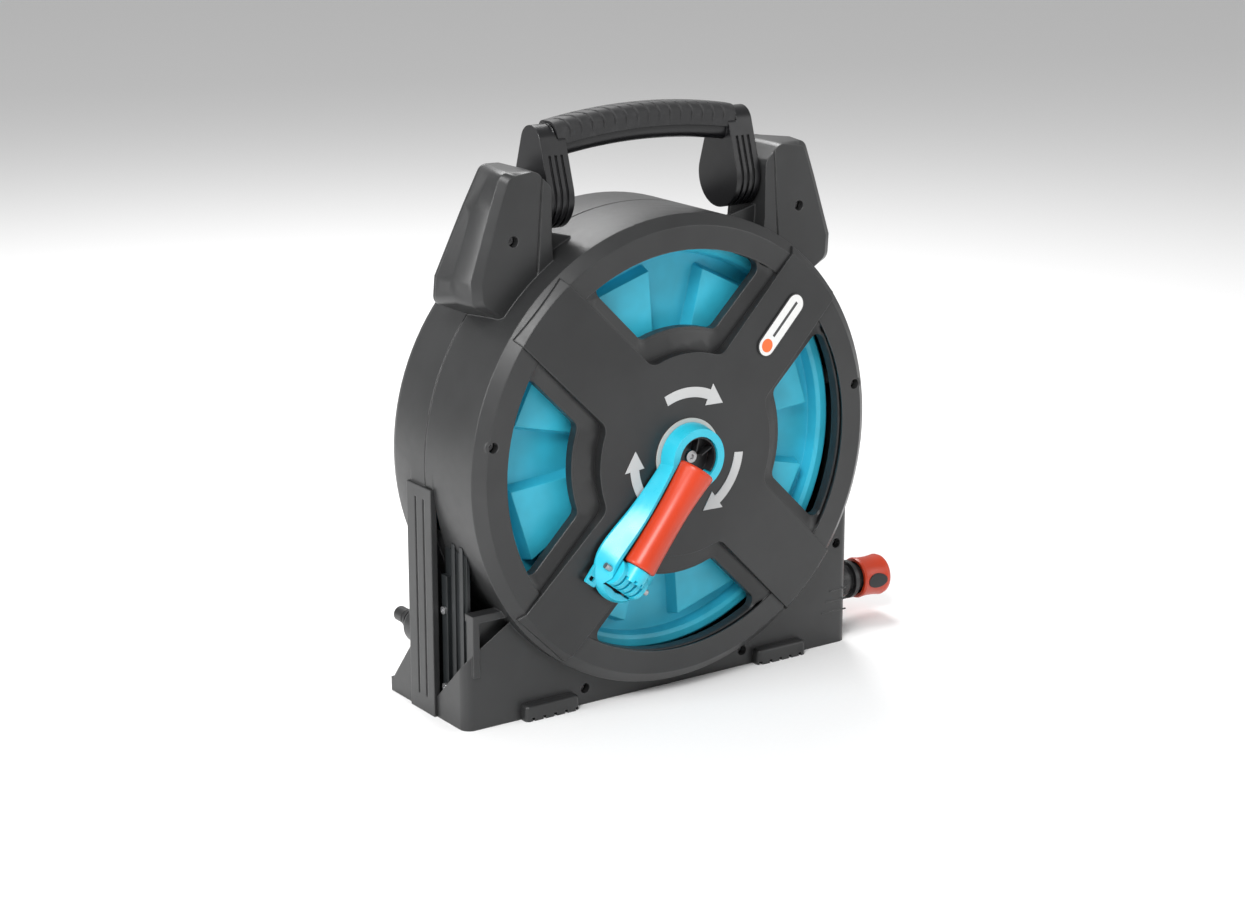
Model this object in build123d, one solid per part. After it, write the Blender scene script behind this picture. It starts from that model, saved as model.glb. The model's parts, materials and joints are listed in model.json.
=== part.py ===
from build123d import *
import math
import os

# Portable garden hose reel: a drum of hose in an upright two-shell case with a carry handle.
# Millimetres.  +X to the right, +Y to the back, +Z up.  The origin is on the floor, under the
# middle of the case's depth, straight below the drum's axis.  A "depth" is measured backwards
# from the case's flat front ring.

os.makedirs("parts", exist_ok=True)

# ---- case ----
face_radius = 185.0
shell_radius = 194.0
shell_wall = 3.0
face_bevel_depth = 8.0
axis_height = 205.0
front_depth = 78.0
rear_depth = 60.0
plate_depth = 22.0
base_half_width = 194.0
rear_edge_round = 14.0
seam_groove = 0.8
fit_gap = 0.3

# ---- windows and star cover ----
window_outer_radius = 166.0
window_inner_radius = 102.5
window_side_offset = 42.5
window_corner = 7.5
star_corner = 11.0
border_side = 12.0
border_inner = 18.5
cover_rise = 7.0
cover_edge_rise = 2.0
cover_wall = 2.5
cover_reach = 190.0

# ---- towers and handle ----
tower_depth = 30.0
tower_back_wall = 3.0
tower_inner = 104.0
handle_depth = 62.0
pivot_height = 210.0
lobe_radius = 26.5
leg_inner = 79.0
leg_outer = 102.5
grip_thickness = 28.0
grip_top = 274.5
grip_arch = 8.5
pivot_pin_radius = 6.0
pivot_pin_length = 34.0
handle_play = 0.06
handle_corner = 11.0
sleeve_reach = 86.0
leg_flute_start = 6.0
leg_flute_pitch = 5.6
leg_flute_width = 2.4
leg_flute_depth = 2.0

# ---- drum ----
core_radius = 62.0
core_wall = 3.0
flange_radius = 172.0
flange_wall = 3.0
flange_depth = 37.0
hose_diameter = 16.0
hose_turns = 4
hose_layers = 7
layer_pitch = 14.4
turn_pitch = 16.3
spoke_count = 8
spoke_rise = 11.0
spoke_wall = 2.5
spoke_draft = 17.0
first_spoke = 108.0
axle_radius = 11.0
running_play = 0.05
drive_square = 14.0

# ---- crank ----
crank_angle = 37.7
crank_hub_radius = 27.5
crank_end_half = 25.0
crank_height = 14.5
crank_lift = 1.8
hinge_reach = 112.0
hinge_rise = 11.0
grip_axis_rise = 18.2
sleeve_length = 92.0
sleeve_start = 8.0
spindle_radius = 6.0
knuckle_radius = 11.0
knuckle_half = 14.5
end_lip = 7.5
hub_cup_radius = 18.0

# ---- water way ----
outlet_height = 38.0
connector_length = 54.0
connector_start = 207.0
inlet_x = -157.0
inlet_height = 46.0
pipe_radius = 7.0
pipe_cover_depth = 17.0
nipple_radius = 6.5
nipple_length = 17.0

# ---- bearings, screws and outlet guide ----
bush_radius = 16.0
hub_boss_radius = 21.0
screw_recess = 10.0
screw_hole_radius = 4.3
screw_head_radius = 3.7
screw_shank_radius = 2.0
screw_boss_radius = 6.8
panel_screw_heights = (26.0, 91.0)
panel_screw_depth = 61.0
guide_half = 17.0
guide_near = 52.0
guide_far = 86.0

# ---- derived places ----
face_y = -(front_depth + rear_depth) / 2
flange_back = flange_depth + flange_wall
winding_width = hose_turns * turn_pitch
winding_outer = core_radius + hose_diameter + (hose_layers - 1) * layer_pitch
rear_flange_depth = flange_back + winding_width + 2 * fit_gap
handle_y = face_y + handle_depth
crank_base_depth = -(cover_rise + crank_lift)
crank_floor_depth = crank_base_depth - 2.0
hinge_height = -crank_base_depth + hinge_rise
grip_height = -crank_base_depth + grip_axis_rise
total_depth = front_depth + rear_depth
lead_height = axis_height - winding_outer - hose_diameter / 2 - 1.2
feed_y = face_y + rear_flange_depth - 14
drive_end = 1.6
rear_end = total_depth - 4
pipe_depth = total_depth + 8.5
nipple_start = total_depth + pipe_cover_depth + 3
seal_places = (rear_flange_depth - 6, rear_flange_depth + 2)
tower_stations = (
    (tower_depth, (142, 233), (152, 205), (168, 155), (167, 137)),
    (tower_depth + 5, (147, 236.5), (158, 206), (175, 155), (174, 136)),
    (tower_depth + 20, (146, 238), (164, 207), (181, 156), (182, 138)),
    (front_depth, (137, 236.5), (153, 207), (180, 153), (182, 132)),
)
border_half_width = window_side_offset - border_side
border_disc = window_inner_radius - border_inner
window_turns = (0, 90, 180, 270)
screw_spots = (
    (-139.0, 183.0, tower_depth),
    (139.0, 183.0, tower_depth),
    (-178.0, 32.0, 0.0),
    (178.0, 32.0, 0.0),
    (-80.0, -191.5, plate_depth),
    (80.0, -191.5, plate_depth),
    (180.0, -114.0, plate_depth),
)


def depth(value):
    """Row y of a place that lies value behind the flat front ring."""
    return face_y + value


def front_plane(y):
    """Plane facing the front, centred on the drum axis: local x is +X and local y is +Z."""
    return Plane(origin=(0, y, axis_height), x_dir=(1, 0, 0), z_dir=(0, -1, 0))


def slab(face, near, far):
    """Sketch drawn in front view about the drum axis, thickened from depth near to depth far."""
    return extrude(front_plane(depth(far)) * face, amount=far - near)


def turned(points):
    """Solid of revolution about the drum axis from (radius, depth) points."""
    section = make_face(Polyline(*[(r, depth(d)) for r, d in points], close=True))
    return Pos(0, 0, axis_height) * revolve(section, Axis.Y)


def disc(radius, near, far):
    """Round disc on the drum axis between two depths."""
    return slab(Circle(radius), near, far)


def ring(outer, inner, near, far):
    """Flat ring on the drum axis between two depths."""
    return slab(Circle(outer) - Circle(inner), near, far)


def block(x0, x1, d0, d1, z0, z1):
    """Box between two x values, two depths and two heights above the floor."""
    size = Box(x1 - x0, d1 - d0, z1 - z0, align=(Align.MIN, Align.MIN, Align.MIN))
    return Pos(x0, depth(d0), z0) * size


def rod(radius, start, end):
    """Round bar of one radius from one point to another."""
    line = Line(start, end)
    return sweep(Plane(origin=start, z_dir=line % 0) * Circle(radius), path=line)


def mirrored(shape):
    """The shape and its mirror image across the middle of the case."""
    return shape + mirror(shape, about=Plane.YZ)


def polygon(*points):
    """Closed flat face through the points."""
    return make_face(Polyline(*points, close=True))


# ---------------------------------------------------------------- case outlines
def quadrant(angle, side_offset):
    """Wedge between two arms of the star, its sides side_offset from the arms' centre lines."""
    apex = side_offset * math.sqrt(2)
    reach = 2 * shell_radius
    return Rot(0, 0, angle) * polygon((0, apex), (reach, apex + reach), (-reach, apex + reach))


def window(angle, grow_side=0.0, grow_inner=0.0, grow_outer=0.0):
    """Window outline between two arms of the star."""
    band = Circle(window_outer_radius + grow_outer) - Circle(window_inner_radius - grow_inner)
    outline = band & quadrant(angle, window_side_offset - grow_side)
    return fillet(outline.vertices(), window_corner)


def window_bevel(angle):
    """Sloping surround between a window and the star cover."""
    near = front_plane(depth(1.4)) * window(angle, border_side, border_inner, 1.5)
    far = front_plane(depth(6.6)) * window(angle, 0.4, 0.4, 0.2)
    return loft([near, far], ruled=True)


def star(reach, side_offset, disc_radius):
    """Star outline: a disc with four arms on the diagonals, ending square."""
    outline = Circle(disc_radius)
    for turn in (45, -45):
        outline += Rot(0, 0, turn) * Rectangle(2 * reach, 2 * side_offset)
    inner = [v for v in outline.vertices() if math.hypot(v.X, v.Y) < disc_radius + 5]
    return fillet(inner, star_corner)


def at_screw(spot, shape_radius, near, far):
    """Round bar on one case screw's axis between two depths."""
    return slab(Pos(spot[0], spot[1]) * Circle(shape_radius), near, far)


def tower_outline(top, shoulder, hip, foot, shrink=0.0):
    """Front view of the right-hand tower through its four outer corners, drawn in by shrink."""
    outline = polygon(
        (tower_inner - 8, 100),
        (tower_inner, 178),
        (tower_inner, 222),
        (118, 236),
        top,
        shoulder,
        hip,
        foot,
        (120, 106),
    )
    for spot, radius in (((tower_inner, 222), 8), ((118, 236), 9), (top, 9), (foot, 8)):
        corner = min(outline.vertices(), key=lambda v: math.hypot(v.X - spot[0], v.Y - spot[1]))
        outline = fillet([corner], radius)
    return offset(outline, amount=-shrink) if shrink else outline


def screw_end(spot):
    """Depth at which a case screw ends; the towers' back walls leave room for a short one only."""
    return front_depth + 1 if spot[2] == tower_depth else front_depth + 10


# ---------------------------------------------------------------- case pieces
def envelope(grow=0.0):
    """Solid outside shape of the round case, with its bevelled front edge, grown by an amount."""
    outer = shell_radius + grow
    return turned([
        (0, -grow),
        (face_radius, -grow),
        (outer, face_bevel_depth - grow * 0.4),
        (outer, front_depth),
        (0, front_depth),
    ])


def towers(shrink=0.0):
    """Both towers, widening backwards from their front faces; shrink gives the space inside them."""
    sections = []
    for place, *corners in tower_stations:
        if place == front_depth:
            place += shrink
        elif place == tower_depth:
            place += shrink
        sections.append(front_plane(depth(place)) * tower_outline(*corners, shrink=shrink))
    return mirrored(loft(sections, ruled=True))


def tower_backs():
    """Thin walls that close the towers at the back."""
    outline = tower_outline(*tower_stations[-1][1:])
    walls = mirrored(slab(outline, front_depth, front_depth + tower_back_wall))
    return walls - disc(shell_radius - 1, front_depth - 1, front_depth + 2 * tower_back_wall)


def tower_fins():
    """Small pointed fins at the towers' inner feet, standing on the barrel."""
    tip = (tower_inner + 4, 187), (tower_inner - 6, 184), (77, 179)
    fin = polygon(*tip, (88, 168), (tower_inner + 6, 156))
    return mirrored(slab(fin, 44, 48))


def tower_bosses(near, far):
    """Round bosses inside the towers that hold the handle's pins."""
    length = pivot_pin_length - (leg_outer - leg_inner) + 10
    place = Pos(tower_inner + 1, handle_y, axis_height + pivot_height) * Rot(0, 90, 0)
    right = extrude(place * Circle(pivot_pin_radius + 4), amount=length)
    return mirrored(right) & block(-220, 220, near, far, 300, 500)


def pivot_bores(radius):
    """Bores on the handle's pivot line."""
    bore = Cylinder(radius, 2 * (leg_inner + pivot_pin_length + 8), rotation=(0, 90, 0))
    return Pos(0, handle_y, axis_height + pivot_height) * bore


def lower_body(near, far, inset=0.0):
    """Box part of the case below the drum's axis."""
    half = base_half_width - inset
    return block(-half, half, near + inset, far, inset, axis_height)


def left_opening():
    """Space cut from the front left corner above the sloping skirt."""
    tall = block(-230, -132, -5, 66, 0, axis_height + 5)
    slope = Plane(origin=(-base_half_width, depth(24), 57), x_dir=(1, 0, 0.67), z_dir=(-0.62, 0.95, 1))
    below = slope * Box(600, 600, 300, align=(Align.CENTER, Align.CENTER, Align.MAX))
    return tall - below


def hose_slot():
    """Tunnel for the hose between the drum space and the outlet."""
    return rod(hose_diameter / 2 + 3, (40, 0, lead_height), (base_half_width + 10, 0, outlet_height))


def guide_window():
    """Opening in the right side wall that holds the hose's guide."""
    low, high = outlet_height - guide_half, outlet_height + guide_half
    return block(base_half_width - 5, base_half_width + 5, guide_near, guide_far, low, high)


def front_shell():
    """Front half of the case: ring, windows, barrel, towers and the front of the base."""
    lower = lower_body(plate_depth, front_depth)
    lower = fillet(lower.edges().filter_by(Axis.Z).sort_by(Axis.Y)[:2], 9)
    body = envelope() + lower
    body += towers() + tower_fins()
    body -= disc(window_outer_radius, -1, 2)
    hollow = disc(shell_radius - shell_wall, 6.5, front_depth + 1)
    hollow += turned([
        (window_outer_radius, shell_wall),
        (face_radius - 3, shell_wall),
        (shell_radius - shell_wall, face_bevel_depth + 2),
        (shell_radius - shell_wall, front_depth + 1),
        (window_outer_radius, front_depth + 1),
    ])
    corner_space = lower_body(plate_depth, front_depth + 1, shell_wall)
    corner_space -= disc(shell_radius, -1, front_depth + 2)
    tower_space = towers(shell_wall)
    tower_space -= disc(shell_radius, -1, 200)
    body -= hollow
    body -= corner_space
    body -= tower_space
    skirt = Sketch()
    for angle in window_turns:
        skirt += window(angle, 2, 2, 2)
    walls = slab(skirt, 5.5, 15) & disc(shell_radius - 1, 0, 20)
    body += walls
    for angle in window_turns:
        body -= window_bevel(angle)
        body -= slab(window(angle), -2, 30)
    body -= ring(shell_radius + 1, shell_radius - seam_groove, front_depth - seam_groove, front_depth + 1)
    body += ring(hub_boss_radius, bush_radius, 2, 14)
    body -= disc(bush_radius, -5, 30)
    body += tower_bosses(tower_depth + 1, front_depth)
    body -= pivot_bores(pivot_pin_radius)
    keep = left_opening() - disc(shell_radius, -10, 200)
    body -= keep
    body += left_corner_ribs()
    body -= post(fit_gap)
    for spot in screw_spots:
        body += at_screw(spot, screw_boss_radius, spot[2] + 1, front_depth)
        body -= at_screw(spot, screw_hole_radius, spot[2] - 3, spot[2] + screw_recess)
        body -= at_screw(spot, screw_shank_radius, spot[2], front_depth + 1)
    for side in (-1, 1):
        line = Pos(side * (tower_inner + 12), 178) * Rot(0, 0, side * 4) * Rectangle(1.8, 110)
        body -= slab(line, 20, tower_depth + 1.2) - disc(shell_radius + 1, 0, 100)
    body -= hose_slot()
    body -= guide_window()
    for count in range(3):
        height = 29 + 9.5 * count
        start = 166 + 4 * count
        body += block(start, base_half_width - 2, plate_depth - 0.7, plate_depth + 0.5, height, height + 1.0)
    return body


def left_corner_ribs():
    """Upright rib, shelf and recessed wall that frame the opening in the front left corner."""
    upright = block(-187, -181, plate_depth - 2, plate_depth + 8, 45, 96)
    shelf = block(-187, -140, plate_depth - 2, plate_depth + 10, 90, 96)
    wall = block(-184, -110, plate_depth + 8, plate_depth + 11, 1, 95)
    return (upright + shelf + wall) - disc(shell_radius - 1, -5, 100)


def post(grow=0.0):
    """Left-hand upright post of the rear shell, with its two flutes."""
    top = axis_height - 0.08 * face_radius
    shape = block(-base_half_width - 2.5 - grow, -base_half_width + 10, 66 - grow, 103, -grow, top + grow)
    if not grow:
        for place in (76, 88):
            shape -= block(-base_half_width - 5, -base_half_width - 1, place, place + 3, 14, top - 10)
        shape -= block(-base_half_width + shell_wall, 0, 60, 103, shell_wall, top - 3)
    return shape


def base_side(near, far, inset):
    """Side view of the rear base: its back leans forward towards the drum's axis."""
    top = axis_height - inset
    return polygon((near, inset), (far, inset), (far - 4, 34), (far - 8, top), (near, top))


def rear_shell():
    """Rear half of the case: barrel, back wall, rear of the base, post and tower backs."""
    total = total_depth
    barrel = turned([
        (0, front_depth),
        (shell_radius, front_depth),
        (shell_radius, total - rear_edge_round),
        (shell_radius - 4, total - 4),
        (shell_radius - rear_edge_round, total),
        (0, total),
    ])
    base = block(-base_half_width, base_half_width, front_depth, total + 2, 0, 12)
    profile = polygon((total - 34, 10), (total, 10), (total - 6, 18), (total - 34, 52))
    brace = Plane.YZ * Pos(face_y, 0) * profile
    for side in (-1, 1):
        x = base_half_width - 12 if side > 0 else -base_half_width
        base += Pos(x, 0, 0) * extrude(brace, amount=12)
    side = base_side(front_depth, total - 30, 0)
    walls = extrude(Plane.YZ * Pos(face_y, 0) * side, amount=base_half_width, both=True)
    body = barrel + base + walls
    inner = shell_radius - shell_wall
    hollow = turned([
        (0, front_depth - 1),
        (inner, front_depth - 1),
        (inner, total - rear_edge_round),
        (inner - 4, total - 4 - shell_wall),
        (inner - rear_edge_round, total - shell_wall),
        (0, total - shell_wall),
    ])
    inside = base_side(front_depth - 1, total - 30 - shell_wall, shell_wall)
    corner = extrude(Plane.YZ * Pos(face_y, 0) * inside, amount=base_half_width - shell_wall, both=True)
    corner -= disc(shell_radius, 0, 300)
    body -= hollow
    body -= corner
    body -= ring(shell_radius + 1, shell_radius - seam_groove, front_depth - 1, front_depth + seam_groove)
    body += tower_backs()
    body += ring(hub_boss_radius + 1, bush_radius, total - 16, total - 2)
    body -= disc(bush_radius, total - 18, total + 5)
    body += post()
    for spot in screw_spots:
        body += rear_boss(spot)
        body -= at_screw(spot, screw_shank_radius, front_depth - 1, screw_end(spot) + 0.5)
    for angle in window_turns:
        body -= slab(window(angle), total - 1.2, total + 1)
    body -= guide_window()
    body -= hose_slot()
    for spot in cover_screw_spots():
        body -= slab(Pos(*spot) * Circle(screw_shank_radius), total - 18, total + 1)
    return body


def rear_boss(spot):
    """Boss in the rear shell for one case screw, with a web to the nearest wall."""
    x, z, start = spot
    end = screw_end(spot) + 1.5 if start == tower_depth else front_depth + 16
    boss = at_screw(spot, screw_boss_radius, front_depth, end)
    if start == tower_depth:
        return boss
    if start == 0:
        outward = math.degrees(math.atan2(z, x))
        length = shell_radius - 1.5 - math.hypot(x, z)
    elif abs(x) > face_radius / 2:
        outward = 0
        length = base_half_width - 1.5 - x
    else:
        outward = -90
        length = axis_height - 1.5 + z
    web = Pos(x, z) * Rot(0, 0, outward) * Rectangle(length, 3, align=(Align.MIN, Align.CENTER))
    return boss + slab(web, front_depth, end)


def inlet_direction():
    """Unit vector in front view from the drum axis to the inlet."""
    drop = inlet_height - axis_height
    reach = math.hypot(inlet_x, drop)
    return inlet_x / reach, drop / reach


def inlet_reach():
    """Distance in front view from the drum axis to the inlet."""
    return math.hypot(inlet_x, inlet_height - axis_height)


def cover_screw_spots():
    """Front-view places of the pipe cover's screws."""
    ux, uz = inlet_direction()
    spots = []
    for along in (40, 140):
        for side in (-1, 1):
            spots.append((ux * along - side * uz * 20, uz * along + side * ux * 20))
    return spots


def front_cover():
    """Raised star cover: a shallow dome with four arms that wrap over the ring's bevel."""
    prism = slab(star(cover_reach, border_half_width, border_disc), -20, 12)
    dome = turned([
        (0, -cover_rise),
        (border_disc, -cover_rise),
        (face_radius + 1, -cover_edge_rise),
        (shell_radius + 1.8, face_bevel_depth - 0.8),
        (shell_radius + 1.8, 12),
        (0, 12),
    ])
    under = turned([
        (0, cover_wall - cover_rise),
        (border_disc, cover_wall - cover_rise),
        (face_radius - 2, 0),
        (face_radius, 0),
        (shell_radius, face_bevel_depth),
        (shell_radius, 13),
        (0, 13),
    ])
    body = (prism & dome) - under
    wall = star(window_outer_radius, border_half_width, border_disc)
    wall -= star(window_outer_radius + 20, border_half_width - 2, border_disc - 2)
    body += slab(wall, -5, 2) & dome & disc(window_outer_radius - 1, -10, 10)
    body -= disc(axle_radius + 2, -20, 5)
    return body - towers()


def curved_arrow(start, end, radius, half_width, near, far):
    """Flat arrow bent round the drum axis from one clock angle to another, in degrees."""
    head = math.degrees(16 / radius)
    band = Circle(radius + half_width) - Circle(radius - half_width)
    reach = 2 * radius
    first, last = math.radians(90 - start), math.radians(90 - (end - head))
    middle = (first + last) / 2
    wedge = polygon((0, 0), (reach * math.cos(first), reach * math.sin(first)),
                    (reach * 1.5 * math.cos(middle), reach * 1.5 * math.sin(middle)),
                    (reach * math.cos(last), reach * math.sin(last)))
    tip = math.radians(90 - end)
    wide = 2.2 * half_width
    point = polygon(((radius - wide) * math.cos(last), (radius - wide) * math.sin(last)),
                    ((radius + wide) * math.cos(last), (radius + wide) * math.sin(last)),
                    (radius * math.cos(tip), radius * math.sin(tip)))
    return slab((band & wedge) + point, near, far)


def direction_arrows():
    """Three clockwise arrows, inlaid on the star cover round the crank."""
    face = -cover_rise
    radius = 0.28 * face_radius
    group = []
    for start, end in ((-24, 42), (96, 162), (216, 282)):
        group.append(curved_arrow(start, end, radius, 4.2, face - 0.5, face))
    return Compound(group)


def label_plate():
    """Blank pill-shaped badge on the upper right arm, lying on the arm's slope."""
    inner, outer, half = 103.0, 164.0, 9.0
    pill = SlotOverall(outer - inner, 2 * half)
    fall = math.atan2(cover_rise - cover_edge_rise, face_radius + 1 - border_disc)
    middle = (inner + outer) / 2
    on_slope = -cover_rise + (middle - border_disc) * math.tan(fall)
    plate = extrude(pill, amount=1.2)
    place = front_plane(depth(on_slope)) * Rot(0, 0, 45) * Pos(middle, 0, 0) * Rot(0, math.degrees(fall), 0)
    return place * Pos(0, 0, 0.1) * plate


def case_screws():
    """The case's seven screws, sunk in their recesses."""
    group = []
    for spot in screw_spots:
        top = spot[2] + screw_recess
        head = at_screw(spot, screw_head_radius, top - 3, top)
        socket = slab(Pos(spot[0], spot[1]) * RegularPolygon(2.0, 6), top - 4, top - 1.2)
        shank = at_screw(spot, screw_shank_radius - 0.05, top, screw_end(spot))
        group.append(head - socket + shank)
    return Compound(group)


def side_panel():
    """Dark inset panel in the left side, between the skirt and the round case."""
    panel = block(-184, -181, plate_depth + 11 + fit_gap, 65.4, 4, 200)
    for place in (36, 48):
        panel += block(-186, -184, place, place + 5, 14, 190)
    lug = block(-188, -184, 57, 65.4, 8, 120)
    panel += lug
    panel -= disc(shell_radius + fit_gap, -10, 200)
    for height in panel_screw_heights:
        panel -= sideways(1.6, -190, -180, panel_screw_depth, height)
    return panel


def sideways(radius, x0, x1, place, height):
    """Round bar along X between two x values."""
    return extrude(Pos(x0, depth(place), height) * Rot(0, 90, 0) * Circle(radius), amount=x1 - x0)


def panel_screws():
    """The side panel's two screws."""
    group = []
    for height in panel_screw_heights:
        head = sideways(3.2, -190.2, -188, panel_screw_depth, height)
        socket = sideways(1.4, -191, -189.2, panel_screw_depth, height)
        shank = sideways(1.5, -188, -176, panel_screw_depth, height)
        group.append(head - socket + shank)
    return Compound(group)


def foot_pads():
    """Two ribbed toes in front of the base and two under its back edge."""
    group = []
    for side in (-1, 1):
        toe = block(-142, -91, plate_depth - 9, plate_depth, 0, 13)
        toe = fillet(toe.edges().filter_by(Axis.Z).sort_by(Axis.Y)[:2], 4)
        toe = fillet(toe.faces().sort_by(Axis.Z)[-1].edges().sort_by(Axis.Y)[:3], 2.5)
        for count in range(5):
            place = -137 + 10.4 * count
            toe -= block(place, place + 3, plate_depth - 10, plate_depth - 1.5, -1, 3)
        group.append(toe if side < 0 else mirror(toe, about=Plane.YZ))
    return Compound(group)


def handle_pivots():
    """The two pins on which the carry handle folds."""
    place = Pos(leg_inner + 6, handle_y, axis_height + pivot_height) * Rot(0, 90, 0)
    right = extrude(place * Circle(pivot_pin_radius), amount=pivot_pin_length)
    return Compound([right, mirror(right, about=Plane.YZ)])


def leg_outline(shrink=0.0):
    """Side view of a handle leg: a round lobe drawn up into the grip's end."""
    top_radius = grip_thickness / 2 - shrink
    lower = CenterArc((0, 0), lobe_radius - shrink, 0, 360)
    upper = CenterArc((0, grip_top - grip_arch - pivot_height - grip_thickness / 2), top_radius, 0, 360)
    return make_hull([lower, upper])


def leg(x0, x1, shrink=0.0):
    """Slice of a handle leg between two x values."""
    side = Plane(origin=(x0, handle_y, axis_height + pivot_height), x_dir=(0, 1, 0), z_dir=(1, 0, 0))
    return extrude(side * leg_outline(shrink), amount=x1 - x0)


def grip_path(half_span):
    """Arched centre line of the grip, half_span to each side of the middle."""
    top = axis_height + grip_top - grip_thickness / 2
    full_span = (leg_inner + leg_outer) / 2
    bend = (full_span ** 2 + grip_arch ** 2) / (2 * grip_arch)
    fall = bend - math.sqrt(bend ** 2 - half_span ** 2)
    return ThreePointArc(
        (-half_span, handle_y, top - fall),
        (0, handle_y, top),
        (half_span, handle_y, top - fall),
    )


def grip_sweep(section, half_span):
    """Section carried along the grip's arched centre line."""
    path = grip_path(half_span)
    start = Plane(origin=path @ 0, x_dir=(0, 1, 0), z_dir=path % 0)
    return sweep(start * section, path=path)


def handle_frame():
    """Carry handle: two fluted legs joined by an arched bar."""
    core = fillet(Rectangle(grip_thickness - 4, grip_thickness).vertices(), 9)
    body = grip_sweep(core, leg_inner + 8)
    for side in (-1, 1):
        x0, x1 = sorted((side * leg_inner, side * leg_outer))
        body += leg(x0, x1)
    body &= handle_outline()
    body -= grip_recess()
    for side in (-1, 1):
        for count in range(3):
            body -= leg_flute(side * (leg_inner + leg_flute_start + count * leg_flute_pitch))
    blind_end = block(-leg_inner - 5, leg_inner + 5, 0, 200, 300, 500)
    body -= pivot_bores(pivot_pin_radius + handle_play) - blind_end
    return body


def handle_outline():
    """Front view of the whole handle with its rounded upper corners, as thick as the legs are deep."""
    low = axis_height + pivot_height - lobe_radius - 5
    high = axis_height + grip_top + 1
    face = Plane.XZ * Pos(0, (low + high) / 2) * Rectangle(2 * leg_outer, high - low)
    bar = extrude(face, amount=200, both=True)
    top = [e for e in bar.edges().filter_by(Axis.Y) if e.center().Z > high - 1]
    return fillet(top, handle_corner)


def leg_flute(x):
    """Shallow groove that runs down the front of a handle leg and round its lobe."""
    x0, x1 = x - leg_flute_width / 2, x + leg_flute_width / 2
    skin = leg(x0, x1, -2.0) - leg(x0 - 1, x1 + 1, leg_flute_depth)
    high = axis_height + grip_top - grip_thickness - 3
    return skin & block(-200, 200, 0, handle_depth - 6, 300, high)


def grip_shell(half_span, inner_cut):
    """Arched upper sleeve of the grip."""
    outer = fillet(Rectangle(grip_thickness - 1, grip_thickness + 3).vertices(), 9.5)
    upper = Pos(0, 12) * Rectangle(60, 30)
    section = outer & upper
    section -= fillet(Rectangle(grip_thickness - 4 - inner_cut, grip_thickness - inner_cut).vertices(), 8)
    return grip_sweep(section, half_span)


def grip_recess():
    """Room for the soft grip on the bar."""
    return grip_shell(sleeve_reach + fit_gap, 4)


def handle_grip():
    """Soft upper half of the grip, crossed by slanting ribs."""
    body = grip_shell(sleeve_reach, 3.2)
    for count in range(15):
        place = -77 + 11 * count
        top = axis_height + grip_top - grip_arch * (place / leg_inner) ** 2
        cutter = Rot(0, 0, 24) * Box(1.6, 60, 3.2)
        body -= Pos(place, handle_y, top + 1.4) * cutter
    return body


# ---------------------------------------------------------------- drum
def spoke_outline(centre, shrink=0.0):
    """Wedge-shaped spoke of the drum's flange in front view."""
    half = math.radians(13.5 - 1.4 * shrink / spoke_wall)
    inner, outer = 66.0 + shrink, flange_radius - 20 - shrink
    points = []
    for radius, side in ((inner, -1), (outer, -1), (outer, 1), (inner, 1)):
        angle = math.radians(centre) + side * half
        points.append((radius * math.cos(angle), radius * math.sin(angle)))
    return fillet(polygon(*points).vertices(), 4)


def flange(near, far, sign):
    """Drum flange with a raised rim and raised spokes; sign is the side they stand out on."""
    body = disc(flange_radius, near, far)
    front = near if sign < 0 else far
    rim = [
        (flange_radius - 14, front),
        (flange_radius - 12, front + sign * 9),
        (flange_radius - 9, front + sign * 11),
        (flange_radius - 3, front + sign * 11),
        (flange_radius, front + sign * 8),
        (flange_radius, front - sign * 1),
        (flange_radius - 14, front - sign * 1),
    ]
    body += turned(rim)
    hollow = front - sign * (flange_wall + 1)
    height = spoke_rise + flange_wall + 1 - spoke_wall
    for count in range(spoke_count):
        centre = first_spoke + 360 / spoke_count * count
        body += raised(spoke_outline(centre), front - sign * 1, spoke_rise + 1, sign)
        body -= raised(spoke_outline(centre, spoke_wall), hollow, height, sign)
    hub_near, hub_far = sorted((front, front + sign * 3))
    return body + ring(66, 24, hub_near, hub_far)


def raised(outline, start, height, sign):
    """Drafted block on a flange, standing out to the front (sign -1) or the back (sign 1)."""
    plane = Plane(origin=(0, depth(start), axis_height), x_dir=(1, 0, 0), z_dir=(0, sign, 0))
    if sign > 0:
        outline = mirror(outline, about=Plane.XZ)
    return extrude(plane * outline, amount=height, taper=spoke_draft)


def front_flange():
    """Front flange of the drum, seen through the windows."""
    body = flange(flange_depth, flange_back, -1)
    body -= disc(axle_radius + running_play, 0, 60)
    for spot in drum_screw_spots():
        body -= slab(Pos(*spot) * Circle(2.2), 0, 60)
    return body


def rear_flange():
    """Rear flange of the drum."""
    body = flange(rear_flange_depth, rear_flange_depth + flange_wall, 1)
    body -= disc(axle_radius + running_play, 90, 140)
    for spot in drum_screw_spots():
        body -= slab(Pos(*spot) * Circle(1.7), 90, rear_flange_depth + 6)
    return body


def drum_screw_spots():
    """Front-view places of the screws that clamp the flanges on the core."""
    reach = core_radius - core_wall - 4.5
    turns = [math.radians(a) for a in (45, 135, 225, 315)]
    return [(reach * math.cos(a), reach * math.sin(a)) for a in turns]


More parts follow.
